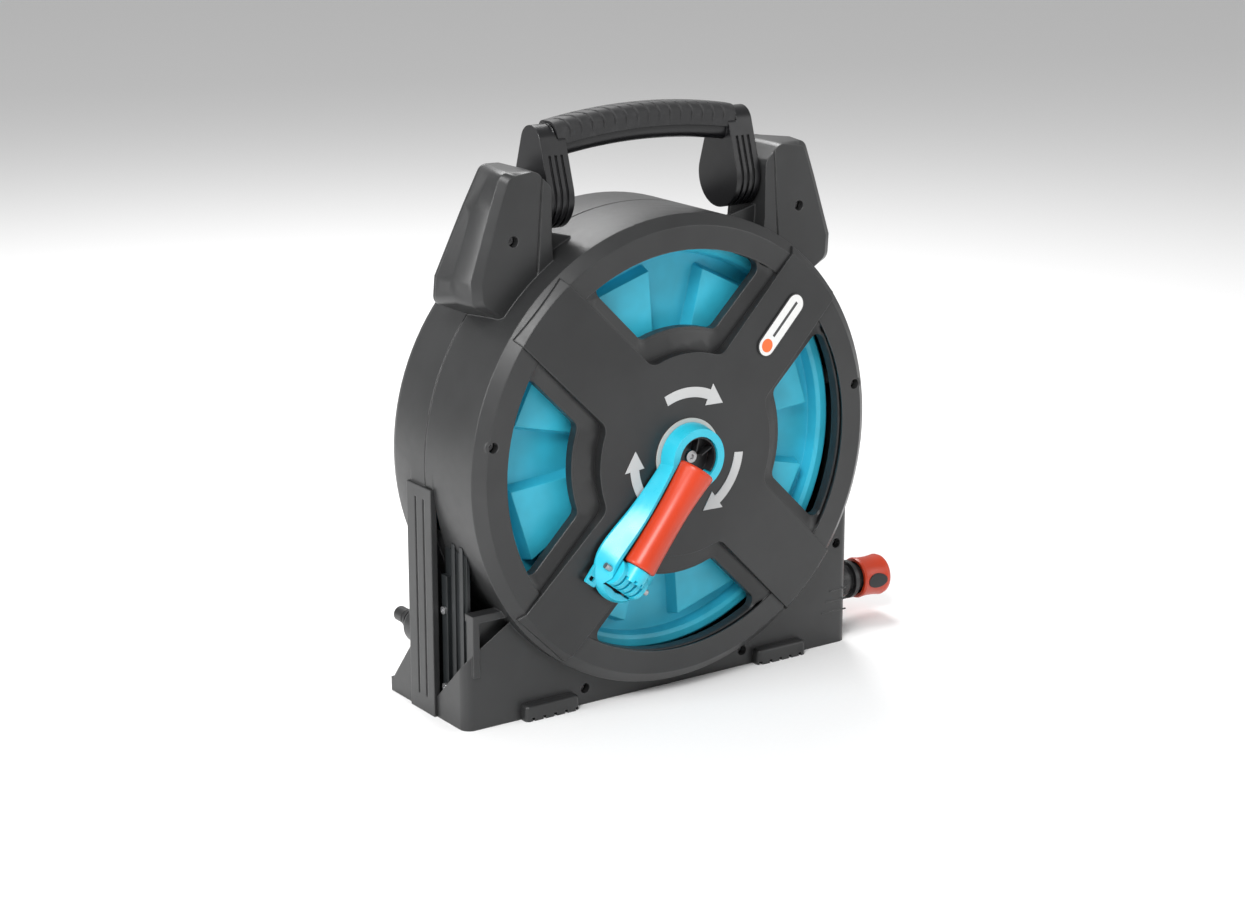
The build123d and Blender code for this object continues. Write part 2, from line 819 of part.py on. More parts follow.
def drum_core():
    """Tube between the flanges, with a hub and webs for the axle."""
    near, far = flange_back, rear_flange_depth
    body = ring(core_radius, core_radius - core_wall, near, far)
    body += ring(axle_radius + 5, axle_radius + running_play, near, far)
    for turn in (0, 60, 120):
        web = slab(Rot(0, 0, turn + 15) * Rectangle(2 * core_radius - 3, 2.5), near, far)
        body += web - disc(axle_radius + 3, 0, 200)
    for spot in drum_screw_spots():
        body += slab(Pos(*spot) * Circle(5.5), near, far)
        body -= slab(Pos(*spot) * Circle(2.1), near - 1, far + 1)
    body -= rod(pipe_radius + fit_gap, (0, feed_y, axis_height), (0, feed_y, axis_height + core_radius + 10))
    return body


def drum_screws():
    """Four long screws through the front flange and core into the rear flange."""
    group = []
    for spot in drum_screw_spots():
        head = slab(Pos(*spot) * Circle(4.2), flange_depth - 6, flange_depth - 3)
        shank = slab(Pos(*spot) * Circle(1.65), flange_depth - 3, rear_flange_depth + 5)
        group.append(head + shank)
    return Compound(group)


def drum_axle():
    """Axle that joins the crank to the drum; its rear end is bored for the water."""
    body = disc(axle_radius, drive_end, rear_end)
    body += slab(Rectangle(drive_square, drive_square), crank_base_depth + 1, drive_end + 1)
    body -= disc(2.0, crank_base_depth, 20)
    body -= disc(pipe_radius + 0.08, rear_flange_depth - 24, rear_end + 1)
    body -= rod(5, (0, feed_y, axis_height), (0, feed_y, axis_height + 20))
    return body


def drum_feed():
    """Pipe inside the core that carries water from the axle to the hose."""
    start = (0, feed_y, axis_height + axle_radius + 5.3)
    end = (0, feed_y, axis_height + core_radius - core_wall - 0.3)
    return rod(pipe_radius, start, end) - rod(4.5, start, end)


def wound_hose():
    """Outer shape of the hose wound on the drum."""
    near = flange_back + fit_gap
    return ring(winding_outer, core_radius + fit_gap, near, near + winding_width)


# ---------------------------------------------------------------- crank
def crank_place():
    """Location that turns crank coordinates (along the arm, across it, out of the case) into place."""
    out = math.radians(crank_angle)
    along = (-math.sin(out), 0, -math.cos(out))
    return Plane(origin=(0, depth(0), axis_height), x_dir=along, z_dir=(0, -1, 0))


def arm_outline(hub, sides, nose):
    """Crank in front view: a round hub, two mirrored curved sides and a rounded nose."""
    first, last = sides[0], sides[-1]
    under = [(x, -y) for x, y in sides]
    edges = [
        ThreePointArc(under[0], (-hub, 0), first),
        Spline(*sides),
        ThreePointArc(last, (nose, 0), under[-1]),
        Spline(*under[::-1]),
    ]
    return make_face(Wire(edges))


def arm_foot():
    """Crank's outline against the case."""
    sides = [(18.2, 20.6), (42, 22), (68, 25.6), (92, 30.2), (106, 30.4), (119, 25), (127, 18)]
    return arm_outline(crank_hub_radius, sides, hinge_reach + 21)


def arm_rim():
    """Crank's outline at its open rim."""
    sides = [(16.6, 18.7), (45, 16.2), (70, 15.9), (96, 18.4), (108, 18.6), (117, 15.5), (123, 10)]
    return arm_outline(crank_hub_radius - 2.5, sides, hinge_reach + 16)


def arm_trough():
    """Outline of the crank's hollow, which follows the turning grip's waist."""
    sides = [(10, 15.6), (32, 14.4), (60, 13.5), (86, 14.6), (104, 15.7), (115, 14), (120.5, 8.5)]
    return arm_outline(18.5, sides, hinge_reach + 13.4)


def out_of_case(sketch, low, high):
    """Crank sketch thickened between two rises above the flat ring."""
    return extrude(crank_place().offset(low) * sketch, amount=high - low)


def crank_arm():
    """Trough-shaped crank arm with sloping sides, a hollow hub and room for the folding knuckle."""
    low, high = -crank_base_depth, -crank_base_depth + crank_height
    floor = -crank_floor_depth
    place = crank_place()
    edge = 2.0
    body = loft([place.offset(low + edge) * arm_foot(), place.offset(high) * arm_rim()], ruled=True)
    body += out_of_case(arm_foot(), low, low + edge)
    body -= out_of_case(arm_trough(), floor, high + 1)
    well = Rectangle(hinge_reach + 12.4 - 98, 2 * knuckle_half + 1, align=(Align.MIN, Align.CENTER))
    body -= out_of_case(Pos(98, 0) * well, low - 1, high)
    gate = Rectangle(30, 2 * knuckle_half + 1, align=(Align.MIN, Align.CENTER))
    body -= out_of_case(Pos(hinge_reach, 0) * gate, low + end_lip, high + 1)
    tab = Pos(hinge_reach + 11, -22) * Rectangle(16, 11)
    tab -= Pos(hinge_reach + 14, -23) * Rectangle(4, 5.5)
    body += out_of_case(fillet(tab.vertices(), 1.5), low, low + 2.6)
    body += disc(axle_radius + 1.4, crank_floor_depth, 1)
    body -= slab(Rectangle(drive_square + 0.2, drive_square + 0.2), crank_base_depth + 0.8, 5)
    body -= disc(2.2, -40, 5)
    body -= crank_across(hinge_reach, hinge_height, 2.5, 40)
    return body


def hub_cup():
    """Dark insert that lines the crank's hub on its far side and covers the floor round the screw."""
    floor = -crank_floor_depth
    high = -crank_base_depth + crank_height - 2.0
    behind = Rectangle(60, 60, align=(Align.MAX, Align.CENTER))
    wall = (Circle(hub_cup_radius) - Circle(hub_cup_radius - 1.2)) & (Pos(2, 0) * behind)
    body = out_of_case(wall, floor + 0.1, high)
    body += out_of_case(Circle(hub_cup_radius) & (Pos(7, 0) * behind), floor + 0.1, floor + 0.9)
    for side in (-1, 1):
        rib = Pos(-9.5, 5.5 * side) * Rot(0, 0, -25 * side) * Rectangle(13, 1.0)
        body += out_of_case(rib & Circle(hub_cup_radius - 0.4), floor + 0.2, high - 2)
    return body - disc(5.6, -40, 5)


def crank_across(along, rise, radius, half_length):
    """Round bar across the crank, centred on the arm."""
    plane = crank_place()
    centre = plane.from_local_coords(Vector(along, 0, rise))
    side = plane.y_dir
    return rod(radius, centre - side * half_length, centre + side * half_length)


def crank_along(radius, start, end, rise):
    """Round bar along the crank between two distances from the drum axis."""
    plane = crank_place()
    first = plane.from_local_coords(Vector(start, 0, rise))
    last = plane.from_local_coords(Vector(end, 0, rise))
    return rod(radius, first, last)


def hinge_pin():
    """Pin across the crank's outer end, on which the grip folds."""
    return crank_across(hinge_reach, hinge_height, 2.45, crank_end_half)


def grip_spindle():
    """Ribbed knuckle and spindle that carry the turning grip."""
    body = crank_across(hinge_reach, hinge_height, knuckle_radius, knuckle_half)
    root = sleeve_start + sleeve_length
    shoulder = crank_along(10.5, root + 0.5, hinge_reach + 1, grip_height)
    body += shoulder & crank_across(hinge_reach, grip_height, 30, knuckle_half)
    body += crank_along(spindle_radius, sleeve_start + 4, hinge_reach, grip_height)
    for count in range(4):
        place = -9.6 + 6.4 * count
        slot = out_of_case(Pos(hinge_reach + 8, place) * Rectangle(19, 2.4), 0, hinge_height + 20)
        body -= slot - crank_across(hinge_reach, hinge_height, knuckle_radius - 3, knuckle_half + 1)
    body -= crank_across(hinge_reach, hinge_height, 2.5, knuckle_half + 1)
    return body


def grip_retainer():
    """Snap washer and screw head that keep the sleeve on its spindle."""
    start = sleeve_start + 4
    washer = crank_along(8.5, start - 1.5, start - 0.2, grip_height)
    head = crank_along(4, start - 3.5, start - 1.5, grip_height)
    return washer + head


def grip_sleeve():
    """Turning grip: a waisted sleeve, flared at its free end."""
    plane = crank_place()
    first = plane.from_local_coords(Vector(sleeve_start, 0, grip_height))
    local = Plane(origin=first, x_dir=plane.y_dir, z_dir=plane.x_dir)
    outline = Spline((15.5, 3), (12.6, sleeve_length * 0.45), (13.5, sleeve_length - 2))
    bore = spindle_radius + 0.08
    edges = [
        Line((bore, 4.6), (9.2, 4.6)),
        Line((9.2, 4.6), (9.2, 0)),
        Line((9.2, 0), (13.5, 0)),
        Line((13.5, 0), (15.5, 3)),
        outline,
        Line((13.5, sleeve_length - 2), (12, sleeve_length)),
        Line((12, sleeve_length), (bore, sleeve_length)),
        Line((bore, sleeve_length), (bore, 4.6)),
    ]
    section = make_face(Wire(edges))
    solid = revolve(section, Axis.Y)
    return local * Rot(90, 0, 0) * solid


def crank_screw():
    """Screw that holds the crank on the axle."""
    top = crank_floor_depth
    head = disc(5, top - 2.4, top) - slab(RegularPolygon(2.3, 6), top - 3, top - 1)
    return head + disc(1.95, top, 14)


def hub_collar():
    """Pale wear ring between the star cover and the crank."""
    return ring(crank_hub_radius + 3.2, 17, -cover_rise - 1.5, -cover_rise)


def front_bush():
    """Bearing bush in the front shell."""
    bore = axle_radius + running_play
    return ring(bush_radius, bore, 2, 14) + ring(bush_radius + 3, bore, 14, 17)


def rear_bush():
    """Bearing bush in the rear shell's back wall."""
    total = total_depth
    return ring(bush_radius, axle_radius + running_play, total - 16, total - 2)


def inlet_line(radius, start, end, place):
    """Round bar from the drum axis towards the inlet at one depth."""
    ux, uz = inlet_direction()
    first = (ux * start, depth(place), axis_height + uz * start)
    last = (ux * end, depth(place), axis_height + uz * end)
    return rod(radius, first, last)


def swivel_elbow():
    """Fixed elbow whose spigot turns in the axle's bored end."""
    body = disc(pipe_radius, rear_flange_depth - 10, pipe_depth)
    body += disc(10, rear_end + 1, pipe_depth + 8.3)
    body += inlet_line(7.6, 0, 24, pipe_depth)
    body -= disc(4.5, rear_flange_depth - 12, pipe_depth + 4.5)
    body -= inlet_line(4.5, 0, 26, pipe_depth)
    for place in seal_places:
        body -= ring(pipe_radius + 1, pipe_radius - 1.6, place, place + 2.4)
    body -= inlet_line(6.02, 12, 26, pipe_depth)
    return body


def swivel_seals():
    """Two sealing rings on the elbow's spigot."""
    return Compound([ring(pipe_radius + 0.02, pipe_radius - 1.5, p + 0.1, p + 2.3) for p in seal_places])


def supply_pipe():
    """Pipe from the inlet to the swivel elbow, behind the case."""
    reach = inlet_reach()
    return inlet_line(6.0, 12.2, reach - 12, pipe_depth) - inlet_line(4.2, 10, reach - 10, pipe_depth)


def inlet_socket():
    """Inlet body: takes the supply pipe and ends in a threaded boss."""
    reach = inlet_reach()
    centre = Pos(inlet_x, inlet_height - axis_height)
    total = total_depth
    body = slab(centre * Circle(11), total + 0.2, total + pipe_cover_depth + 3)
    body += inlet_line(9, reach - 20, reach, pipe_depth)
    body -= inlet_line(6.02, reach - 21, reach - 11.9, pipe_depth)
    body -= inlet_line(4.5, reach - 21, reach, pipe_depth)
    body -= slab(centre * Circle(4.5), pipe_depth, total + pipe_cover_depth + 4)
    return body


def inlet_nipple():
    """Quick-connector nipple for the supply hose."""
    centre = Pos(inlet_x, inlet_height - axis_height)
    start = nipple_start
    body = slab(centre * RegularPolygon(11, 6), start, start + 5)
    body += slab(centre * Circle(7.2), start + 5, start + 12)
    body += slab(centre * Circle(8.5), start + 10, start + 13)
    body += slab(centre * Circle(nipple_radius), start + 13, start + 13 + nipple_length)
    body -= slab(centre * (Circle(nipple_radius + 1) - Circle(nipple_radius - 1.5)), start + 17, start + 19.6)
    body -= slab(centre * Circle(4.2), start - 1, start + 40)
    return body


def inlet_seal():
    """Sealing ring on the inlet nipple."""
    centre = Pos(inlet_x, inlet_height - axis_height)
    start = nipple_start
    section = Circle(nipple_radius + 0.3) - Circle(nipple_radius - 1.45)
    return slab(centre * section, start + 17.1, start + 19.5)


def cover_outline(shrink):
    """Front view of the rear pipe cover: a slot-shaped run with a round end on the axis."""
    ux, uz = inlet_direction()
    reach = inlet_reach()
    turn = math.degrees(math.atan2(uz, ux))
    run = SlotCenterToCenter(reach, 32 - 2 * shrink)
    outline = Rot(0, 0, turn) * Pos(reach / 2, 0) * run
    return outline + Circle(30 - shrink)


def pipe_cover():
    """Moulded cover over the elbow and the supply pipe on the back of the case."""
    total = total_depth
    body = slab(cover_outline(0), total, total + pipe_cover_depth + 3)
    body = fillet(body.faces().sort_by(Axis.Y)[-1].edges(), 4)
    body -= slab(cover_outline(2.5), total - 1, total + pipe_cover_depth + 0.5)
    body -= slab(Pos(inlet_x, inlet_height - axis_height) * Circle(12.6), total, total + 40)
    for spot in cover_screw_spots():
        body += slab(Pos(*spot) * Circle(7), total, total + 4) - slab(cover_outline(1), total - 1, total + 10)
        body -= slab(Pos(*spot) * Circle(screw_shank_radius + 0.2), total - 1, total + 10)
    return body


def cover_screws():
    """Screws of the rear pipe cover."""
    total = total_depth
    group = []
    for spot in cover_screw_spots():
        head = slab(Pos(*spot) * Circle(4), total + 4, total + 6.6)
        head -= slab(Pos(*spot) * RegularPolygon(2, 6), total + 5, total + 8)
        shank = slab(Pos(*spot) * Circle(screw_shank_radius - 0.05), total - 3, total + 4)
        group.append(head + shank)
    return Compound(group)


# ---------------------------------------------------------------- outlet
def outlet_guide():
    """Flared bush in the right side wall through which the hose runs."""
    half = guide_half - fit_gap
    low, high = outlet_height - half, outlet_height + half
    near, far = guide_near + fit_gap, guide_far - fit_gap
    wall = base_half_width
    frame = block(wall - shell_wall - 3, wall + 2, near, far, low, high)
    lip = block(wall + 0.3, wall + 4, near - 3, far + 3, low - 3, high + 3)
    lip = fillet(lip.edges().filter_by(Axis.X), 6)
    throat = hose_diameter / 2
    section = polygon(
        (throat + 1.2, 0),
        (throat + 6, -6),
        (throat + 6, -12),
        (0, -12),
        (0, 12),
        (throat + 5, 12),
        (throat + 5, 5),
    )
    turn = Pos(wall, 0, outlet_height) * Rot(0, 90, 0) * Rot(90, 0, 0)
    return frame + lip - turn * revolve(section, Axis.Y)


def lead_points():
    """Centre line of the hose from the winding to the connector."""
    return [
        (-34, 0, lead_height + 1.5),
        (20, 0, lead_height),
        (80, 0, lead_height + 1.2),
        (140, 0, outlet_height - 2.2),
        (connector_start - 24, 0, outlet_height),
        (connector_start + 8, 0, outlet_height - 1.4),
    ]


def lead_hose():
    """Hose between the drum and the connector, in straight runs joined by wide arcs."""
    points = [Vector(*p) for p in lead_points()]
    radii = []
    for a, b, c in zip(points, points[1:], points[2:]):
        half_turn = math.radians((b - a).get_angle(c - b)) / 2
        radii.append(0.45 * min((b - a).length, (c - b).length) / math.tan(half_turn))
    print("lead hose radii", [round(r) for r in radii])
    path = FilletPolyline(*points, radius=radii)
    tube = sweep(Plane(origin=path @ 0, z_dir=path % 0) * Circle(hose_diameter / 2), path=path)
    length = path.length
    area = math.pi * hose_diameter ** 2 / 4
    print("lead hose length", round(length, 1), "volume ratio", round(tube.volume / (area * length), 4))
    return tube


def connector_frame():
    """Plane at the connector's hose end, its normal along the connector."""
    points = lead_points()
    way = Vector(*points[-1]) - Vector(*points[-2])
    return Plane(origin=points[-1], x_dir=(0, 1, 0), z_dir=way)


def on_connector(sketch, start, end):
    """Connector sketch thickened between two distances from its hose end."""
    return extrude(connector_frame().offset(start) * sketch, amount=end - start)


def hose_nut():
    """Ribbed nut that clamps the hose in the connector."""
    body = on_connector(Circle(15.5), -10, 8)
    body -= on_connector(Circle(hose_diameter / 2 + 0.05), -11, 0.2)
    body -= on_connector(Circle(13.4), 0.2, 9)
    for count in range(24):
        rib = on_connector(Rot(0, 0, 15 * count) * Pos(15.4, 0) * Rectangle(1.2, 1.6), -9, 5)
        body += rib
    return body


def connector_body():
    """Connector core with its stepped socket."""
    body = on_connector(Circle(13.2), 0.4, 14)
    body += on_connector(Circle(17.0), 14, 18)
    body += on_connector(Circle(13.5), 18, connector_length - 8)
    body += on_connector(Circle(15.0), connector_length - 8, connector_length)
    body -= on_connector(Circle(8.7), connector_length - 14, connector_length + 1)
    body -= on_connector(Circle(6.65), connector_length - 26, connector_length)
    body -= on_connector(Circle(8.2), connector_length - 20, connector_length - 17.4)
    body -= on_connector(Circle(4.5), 0, connector_length)
    return body


def connector_collar():
    """Sliding release collar of the connector, waisted for the fingers."""
    frame = connector_frame()
    start, end = 24.0, connector_length - 1
    outline = Spline((18.2, start + 2), (17.3, (start + end) / 2), (18.4, end - 3))
    edges = [
        Line((15.1, start), (17.4, start)),
        Line((17.4, start), (18.2, start + 2)),
        outline,
        Line((18.4, end - 3), (17.4, end)),
        Line((17.4, end), (15.1, end)),
        Line((15.1, end), (15.1, start)),
    ]
    section = make_face(Wire(edges))
    solid = Rot(90, 0, 0) * revolve(section, Axis.Y)
    return frame * solid - pad_spaces()


def pad_spaces():
    """Two oval pockets on the front and back of the release collar."""
    frame = connector_frame()
    across = Plane(origin=frame.origin, x_dir=frame.z_dir, z_dir=frame.x_dir)
    middle = (24 + connector_length - 1) / 2
    oval = extrude(across * Pos(middle, 0) * Ellipse(10.5, 6.5), amount=18.5, both=True)
    return oval & on_connector(Circle(18.4) - Circle(16.4), 24, connector_length)


def collar_pads():
    """Two soft oval finger pads set in the release collar."""
    return pad_spaces()


def connector_seal():
    """Sealing ring inside the connector's socket."""
    return on_connector(Circle(8.15) - Circle(6.7), connector_length - 19.9, connector_length - 17.5)


makers = {
    "front_shell": front_shell,
    "rear_shell": rear_shell,
    "front_cover": front_cover,
    "direction_arrows": direction_arrows,
    "label_plate": label_plate,
    "case_screws": case_screws,
    "side_panel": side_panel,
    "panel_screws": panel_screws,
    "foot_pads": foot_pads,
    "handle_pivots": handle_pivots,
    "handle_frame": handle_frame,
    "handle_grip": handle_grip,
    "front_flange": front_flange,
    "rear_flange": rear_flange,
    "drum_core": drum_core,
    "drum_screws": drum_screws,
    "drum_axle": drum_axle,
    "drum_feed": drum_feed,
    "wound_hose": wound_hose,
    "front_bush": front_bush,
    "rear_bush": rear_bush,
    "hub_collar": hub_collar,
    "crank_arm": crank_arm,
    "crank_screw": crank_screw,
    "hub_cup": hub_cup,
    "hinge_pin": hinge_pin,
    "grip_spindle": grip_spindle,
    "grip_retainer": grip_retainer,
    "grip_sleeve": grip_sleeve,
    "swivel_elbow": swivel_elbow,
    "swivel_seals": swivel_seals,
    "supply_pipe": supply_pipe,
    "inlet_socket": inlet_socket,
    "inlet_nipple": inlet_nipple,
    "inlet_seal": inlet_seal,
    "pipe_cover": pipe_cover,
    "cover_screws": cover_screws,
    "outlet_guide": outlet_guide,
    "lead_hose": lead_hose,
    "hose_nut": hose_nut,
    "connector_body": connector_body,
    "connector_collar": connector_collar,
    "collar_pads": collar_pads,
    "connector_seal": connector_seal,
}

for name, make in makers.items():
    export_step(make(), "parts/" + name + ".step")
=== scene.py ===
"""Looks of a portable garden hose reel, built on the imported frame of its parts."""

import json
import logging
import math
from dataclasses import dataclass, field
from enum import Enum
from functools import cache
from typing import Any, Optional, Union

import bmesh
import bpy
import numpy as np
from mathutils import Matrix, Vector


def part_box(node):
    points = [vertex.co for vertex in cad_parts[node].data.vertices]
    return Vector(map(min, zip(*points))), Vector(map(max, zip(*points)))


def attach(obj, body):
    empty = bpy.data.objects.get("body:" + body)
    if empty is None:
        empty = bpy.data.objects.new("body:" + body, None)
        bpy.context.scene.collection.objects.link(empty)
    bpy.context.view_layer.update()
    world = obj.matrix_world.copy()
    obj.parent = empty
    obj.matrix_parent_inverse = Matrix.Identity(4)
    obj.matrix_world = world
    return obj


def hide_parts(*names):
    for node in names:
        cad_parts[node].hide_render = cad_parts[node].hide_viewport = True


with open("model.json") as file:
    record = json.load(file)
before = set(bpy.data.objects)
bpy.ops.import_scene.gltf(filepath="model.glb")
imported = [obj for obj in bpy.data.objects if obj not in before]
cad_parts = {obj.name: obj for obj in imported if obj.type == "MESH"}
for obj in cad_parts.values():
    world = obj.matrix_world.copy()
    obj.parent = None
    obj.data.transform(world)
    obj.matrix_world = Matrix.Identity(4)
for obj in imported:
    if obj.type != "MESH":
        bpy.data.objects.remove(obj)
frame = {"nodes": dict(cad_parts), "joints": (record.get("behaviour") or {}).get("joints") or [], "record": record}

LOG = logging.getLogger("hose_reel")
Colour = tuple[float, float, float]
MM = 0.001
MERGE_DISTANCE = 2e-6
FACE_WEIGHT = 80
WHITE = (1.0, 1.0, 1.0, 1.0)


# ---------------------------------------------------------------- shader expressions
class Channel:
    """Output socket of a node tree that takes part in Python arithmetic."""

    def __init__(self, tree: "NodeGraph", socket: bpy.types.NodeSocket) -> None:
        """Keep the graph and the socket."""
        self.tree = tree
        self.socket = socket

    def _math(self, operation: str, *terms: Any) -> "Channel":
        """Add one Math node.

        Args:
            operation: The Math node's operation.
            terms: Its inputs in order, as channels or numbers.

        Returns:
            The node's result.
        """
        return self.tree.add("ShaderNodeMath", {"operation": operation}, dict(enumerate(terms)))

    def __add__(self, other: Any) -> "Channel":
        """Sum."""
        return self._math("ADD", self, other)

    __radd__ = __add__

    def __sub__(self, other: Any) -> "Channel":
        """Difference."""
        return self._math("SUBTRACT", self, other)

    def __rsub__(self, other: Any) -> "Channel":
        """Difference from a number."""
        return self._math("SUBTRACT", other, self)

    def __mul__(self, other: Any) -> "Channel":
        """Product."""
        return self._math("MULTIPLY", self, other)

    __rmul__ = __mul__

    def __truediv__(self, other: Any) -> "Channel":
        """Quotient."""
        return self._math("DIVIDE", self, other)

    def below(self, limit: Any) -> "Channel":
        """1 where the value is below the limit, else 0."""
        return self._math("LESS_THAN", self, limit)

    def above(self, limit: Any) -> "Channel":
        """1 where the value is above the limit, else 0."""
        return self._math("GREATER_THAN", self, limit)

    def size(self) -> "Channel":
        """Absolute value."""
        return self._math("ABSOLUTE", self)

    def at_least(self, limit: Any) -> "Channel":
        """The value, or the limit where the value is smaller."""
        return self._math("MAXIMUM", self, limit)

    def sine(self) -> "Channel":
        """Sine of the value in radians."""
        return self._math("SINE", self)

    def smooth(self, low: float, high: float) -> "Channel":
        """Smooth step from 0 at low to 1 at high."""
        settings = {"interpolation_type": "SMOOTHSTEP"}
        inputs = {"Value": self, "From Min": low, "From Max": high}
        return self.tree.add("ShaderNodeMapRange", settings, inputs)


class NodeGraph:
    """Node tree of one material, ending in a Principled shader."""

    def __init__(self, name: str) -> None:
        """Make an empty material of that name."""
        self.material = bpy.data.materials.new(name)
        self.material.use_nodes = True
        self.nodes = self.material.node_tree.nodes
        self.links = self.material.node_tree.links
        self.nodes.clear()
        self.shader = self.nodes.new("ShaderNodeBsdfPrincipled")
        output = self.nodes.new("ShaderNodeOutputMaterial")
        self.links.new(self.shader.outputs[0], output.inputs["Surface"])

    def feed(self, socket: bpy.types.NodeSocket, value: Any) -> None:
        """Link a channel to a socket, or set the socket to a plain value."""
        if isinstance(value, Channel):
            self.links.new(value.socket, socket)
        else:
            socket.default_value = value

    def add(self, kind: str, settings: Optional[dict] = None, inputs: Optional[dict] = None,
            output: Union[int, str] = 0) -> Channel:
        """Add one node of any kind.

        Args:
            kind: The node's type.
            settings: Properties of the node, set first.
            inputs: Values or channels by the socket's name or number.
            output: The output that is wanted.

        Returns:
            The wanted output.
        """
        node = self.nodes.new(kind)
        for key, value in (settings or {}).items():
            setattr(node, key, value)
        for key, value in (inputs or {}).items():
            self.feed(node.inputs[key], value)
        return Channel(self, node.outputs[output])

    def point(self) -> Channel:
        """Place on the piece, in metres in the shared frame."""
        return self.add("ShaderNodeTexCoord", output="Object")

    def noise(self, size: float, detail: float = 2.0,
              stretch: Optional[Colour] = None) -> Channel:
        """Smooth noise from 0 to 1.

        Args:
            size: Size of its grains in metres.
            detail: Octaves of finer noise.
            stretch: Scale along each axis, where the grains aren't round.

        Returns:
            The noise's value.
        """
        where = self.point()
        if stretch:
            where = self.add("ShaderNodeMapping", inputs={"Vector": where, "Scale": stretch})
        inputs = {"Vector": where, "Scale": 1.0 / size, "Detail": detail}
        return self.add("ShaderNodeTexNoise", inputs=inputs)

    def blend(self, factor: Any, first: Any, second: Any) -> Channel:
        """Mix two colours by a factor."""
        pair = [(*c, 1.0) if isinstance(c, tuple) else c for c in (first, second)]
        inputs = {"Factor": factor, 6: pair[0], 7: pair[1]}
        return self.add("ShaderNodeMix", {"data_type": "RGBA"}, inputs, 2)

    def bumpy(self, height: Any, strength: float, distance: float, **base: Any) -> Channel:
        """Surface direction disturbed by a height, over another direction if one is given.

        Args:
            height: The height, from 0 to 1.
            strength: How strongly it shows, from 0 to 1.
            distance: Height of its top in metres.
            base: Normal, where it isn't the plain surface's.

        Returns:
            The disturbed direction.
        """
        inputs = {"Strength": strength, "Distance": distance, "Height": height, **base}
        return self.add("ShaderNodeBump", None, inputs)

    def rounded_normal(self, radius: float) -> Channel:
        """Surface direction with every edge rounded off by a radius in metres."""
        return self.add("ShaderNodeBevel", {"samples": 6}, {"Radius": radius})

    def edge_mask(self, radius: float) -> Channel:
        """1 on outer and inner edges and 0 on plain faces: how far the rounded direction turns."""
        true_normal = self.add("ShaderNodeNewGeometry", output="Normal")
        inputs = {0: self.rounded_normal(radius), 1: true_normal}
        aligned = self.add("ShaderNodeVectorMath", {"operation": "DOT_PRODUCT"}, inputs, "Value")
        return (1.0 - aligned).smooth(0.01, 0.22)

    def axes(self, place: Optional[Channel] = None) -> list[Channel]:
        """The three coordinates of a place, or else of the point on the piece."""
        split = self.add("ShaderNodeSeparateXYZ", inputs={0: place or self.point()})
        return [Channel(self, output) for output in split.socket.node.outputs]

    def finish(self, colour: Any, roughness: Any, normal: Any, **plain: Any) -> bpy.types.Material:
        """Connect the shader and hand the material back."""
        base = (*colour, 1.0) if isinstance(colour, tuple) else colour
        self.feed(self.shader.inputs["Base Color"], base)
        self.feed(self.shader.inputs["Roughness"], roughness)
        self.feed(self.shader.inputs["Normal"], normal)
        for key, value in plain.items():
            self.shader.inputs[key.replace("_", " ")].default_value = value
        return self.material


# ---------------------------------------------------------------- finishes
@dataclass(frozen=True)
class Moulding:
    """Injection-moulded plastic: fine grain, faint flow marks and paler edges that are partly edge wear and partly
    a painted highlight on the bevels.
    """

    name: str
    colour: Colour
    roughness: float = 0.45
    grain: float = 0.5 * MM
    grain_depth: float = 0.03 * MM
    edge: float = 0.8 * MM
    # Share of the paler edge colour, which is edge wear together with a painted highlight.
    edge_wear_and_highlight: float = 0.25
    flow: float = 0.12
    coat: float = 0.0
    flow_size: float = 45 * MM
    smudge_size: float = 9 * MM
    # Gain and lift of the paler edge colour: partly edge wear, partly a painted highlight on the bevels.
    wear_and_highlight_gain: float = 1.35
    wear_and_highlight_lift: float = 0.09

    @cache
    def material(self) -> bpy.types.Material:
        """Node material of this plastic, made once."""
        graph = NodeGraph(self.name)
        flow = graph.noise(self.flow_size, 3.0)
        smudge = graph.noise(self.smudge_size, 4.0)
        grain = graph.noise(self.grain, 2.0)
        edge = graph.edge_mask(self.edge)
        dark = tuple(c * (1 - self.flow) for c in self.colour)
        light = tuple(min(1.0, c * (1 + self.flow)) for c in self.colour)
        # Paler edge colour: partly edge wear, partly a painted highlight where the bevels catch the light.
        worn_and_highlit = tuple(min(1.0, c * self.wear_and_highlight_gain + self.wear_and_highlight_lift) for c in self.colour)
        colour = graph.blend(flow.smooth(0.3, 0.7), dark, light)
        # Blend in the paler edges, which are edge wear and painted highlight together.
        colour = graph.blend(edge * smudge * self.edge_wear_and_highlight, colour, worn_and_highlit)
        rough = self.roughness + (smudge - 0.5) * 0.14 + (grain - 0.5) * 0.10 - edge * 0.06
        rounded = graph.rounded_normal(self.edge)
        normal = graph.bumpy(grain, 0.6, self.grain_depth, Normal=rounded)
        return graph.finish(colour, rough, normal, Coat_Weight=self.coat, Coat_Roughness=0.2)


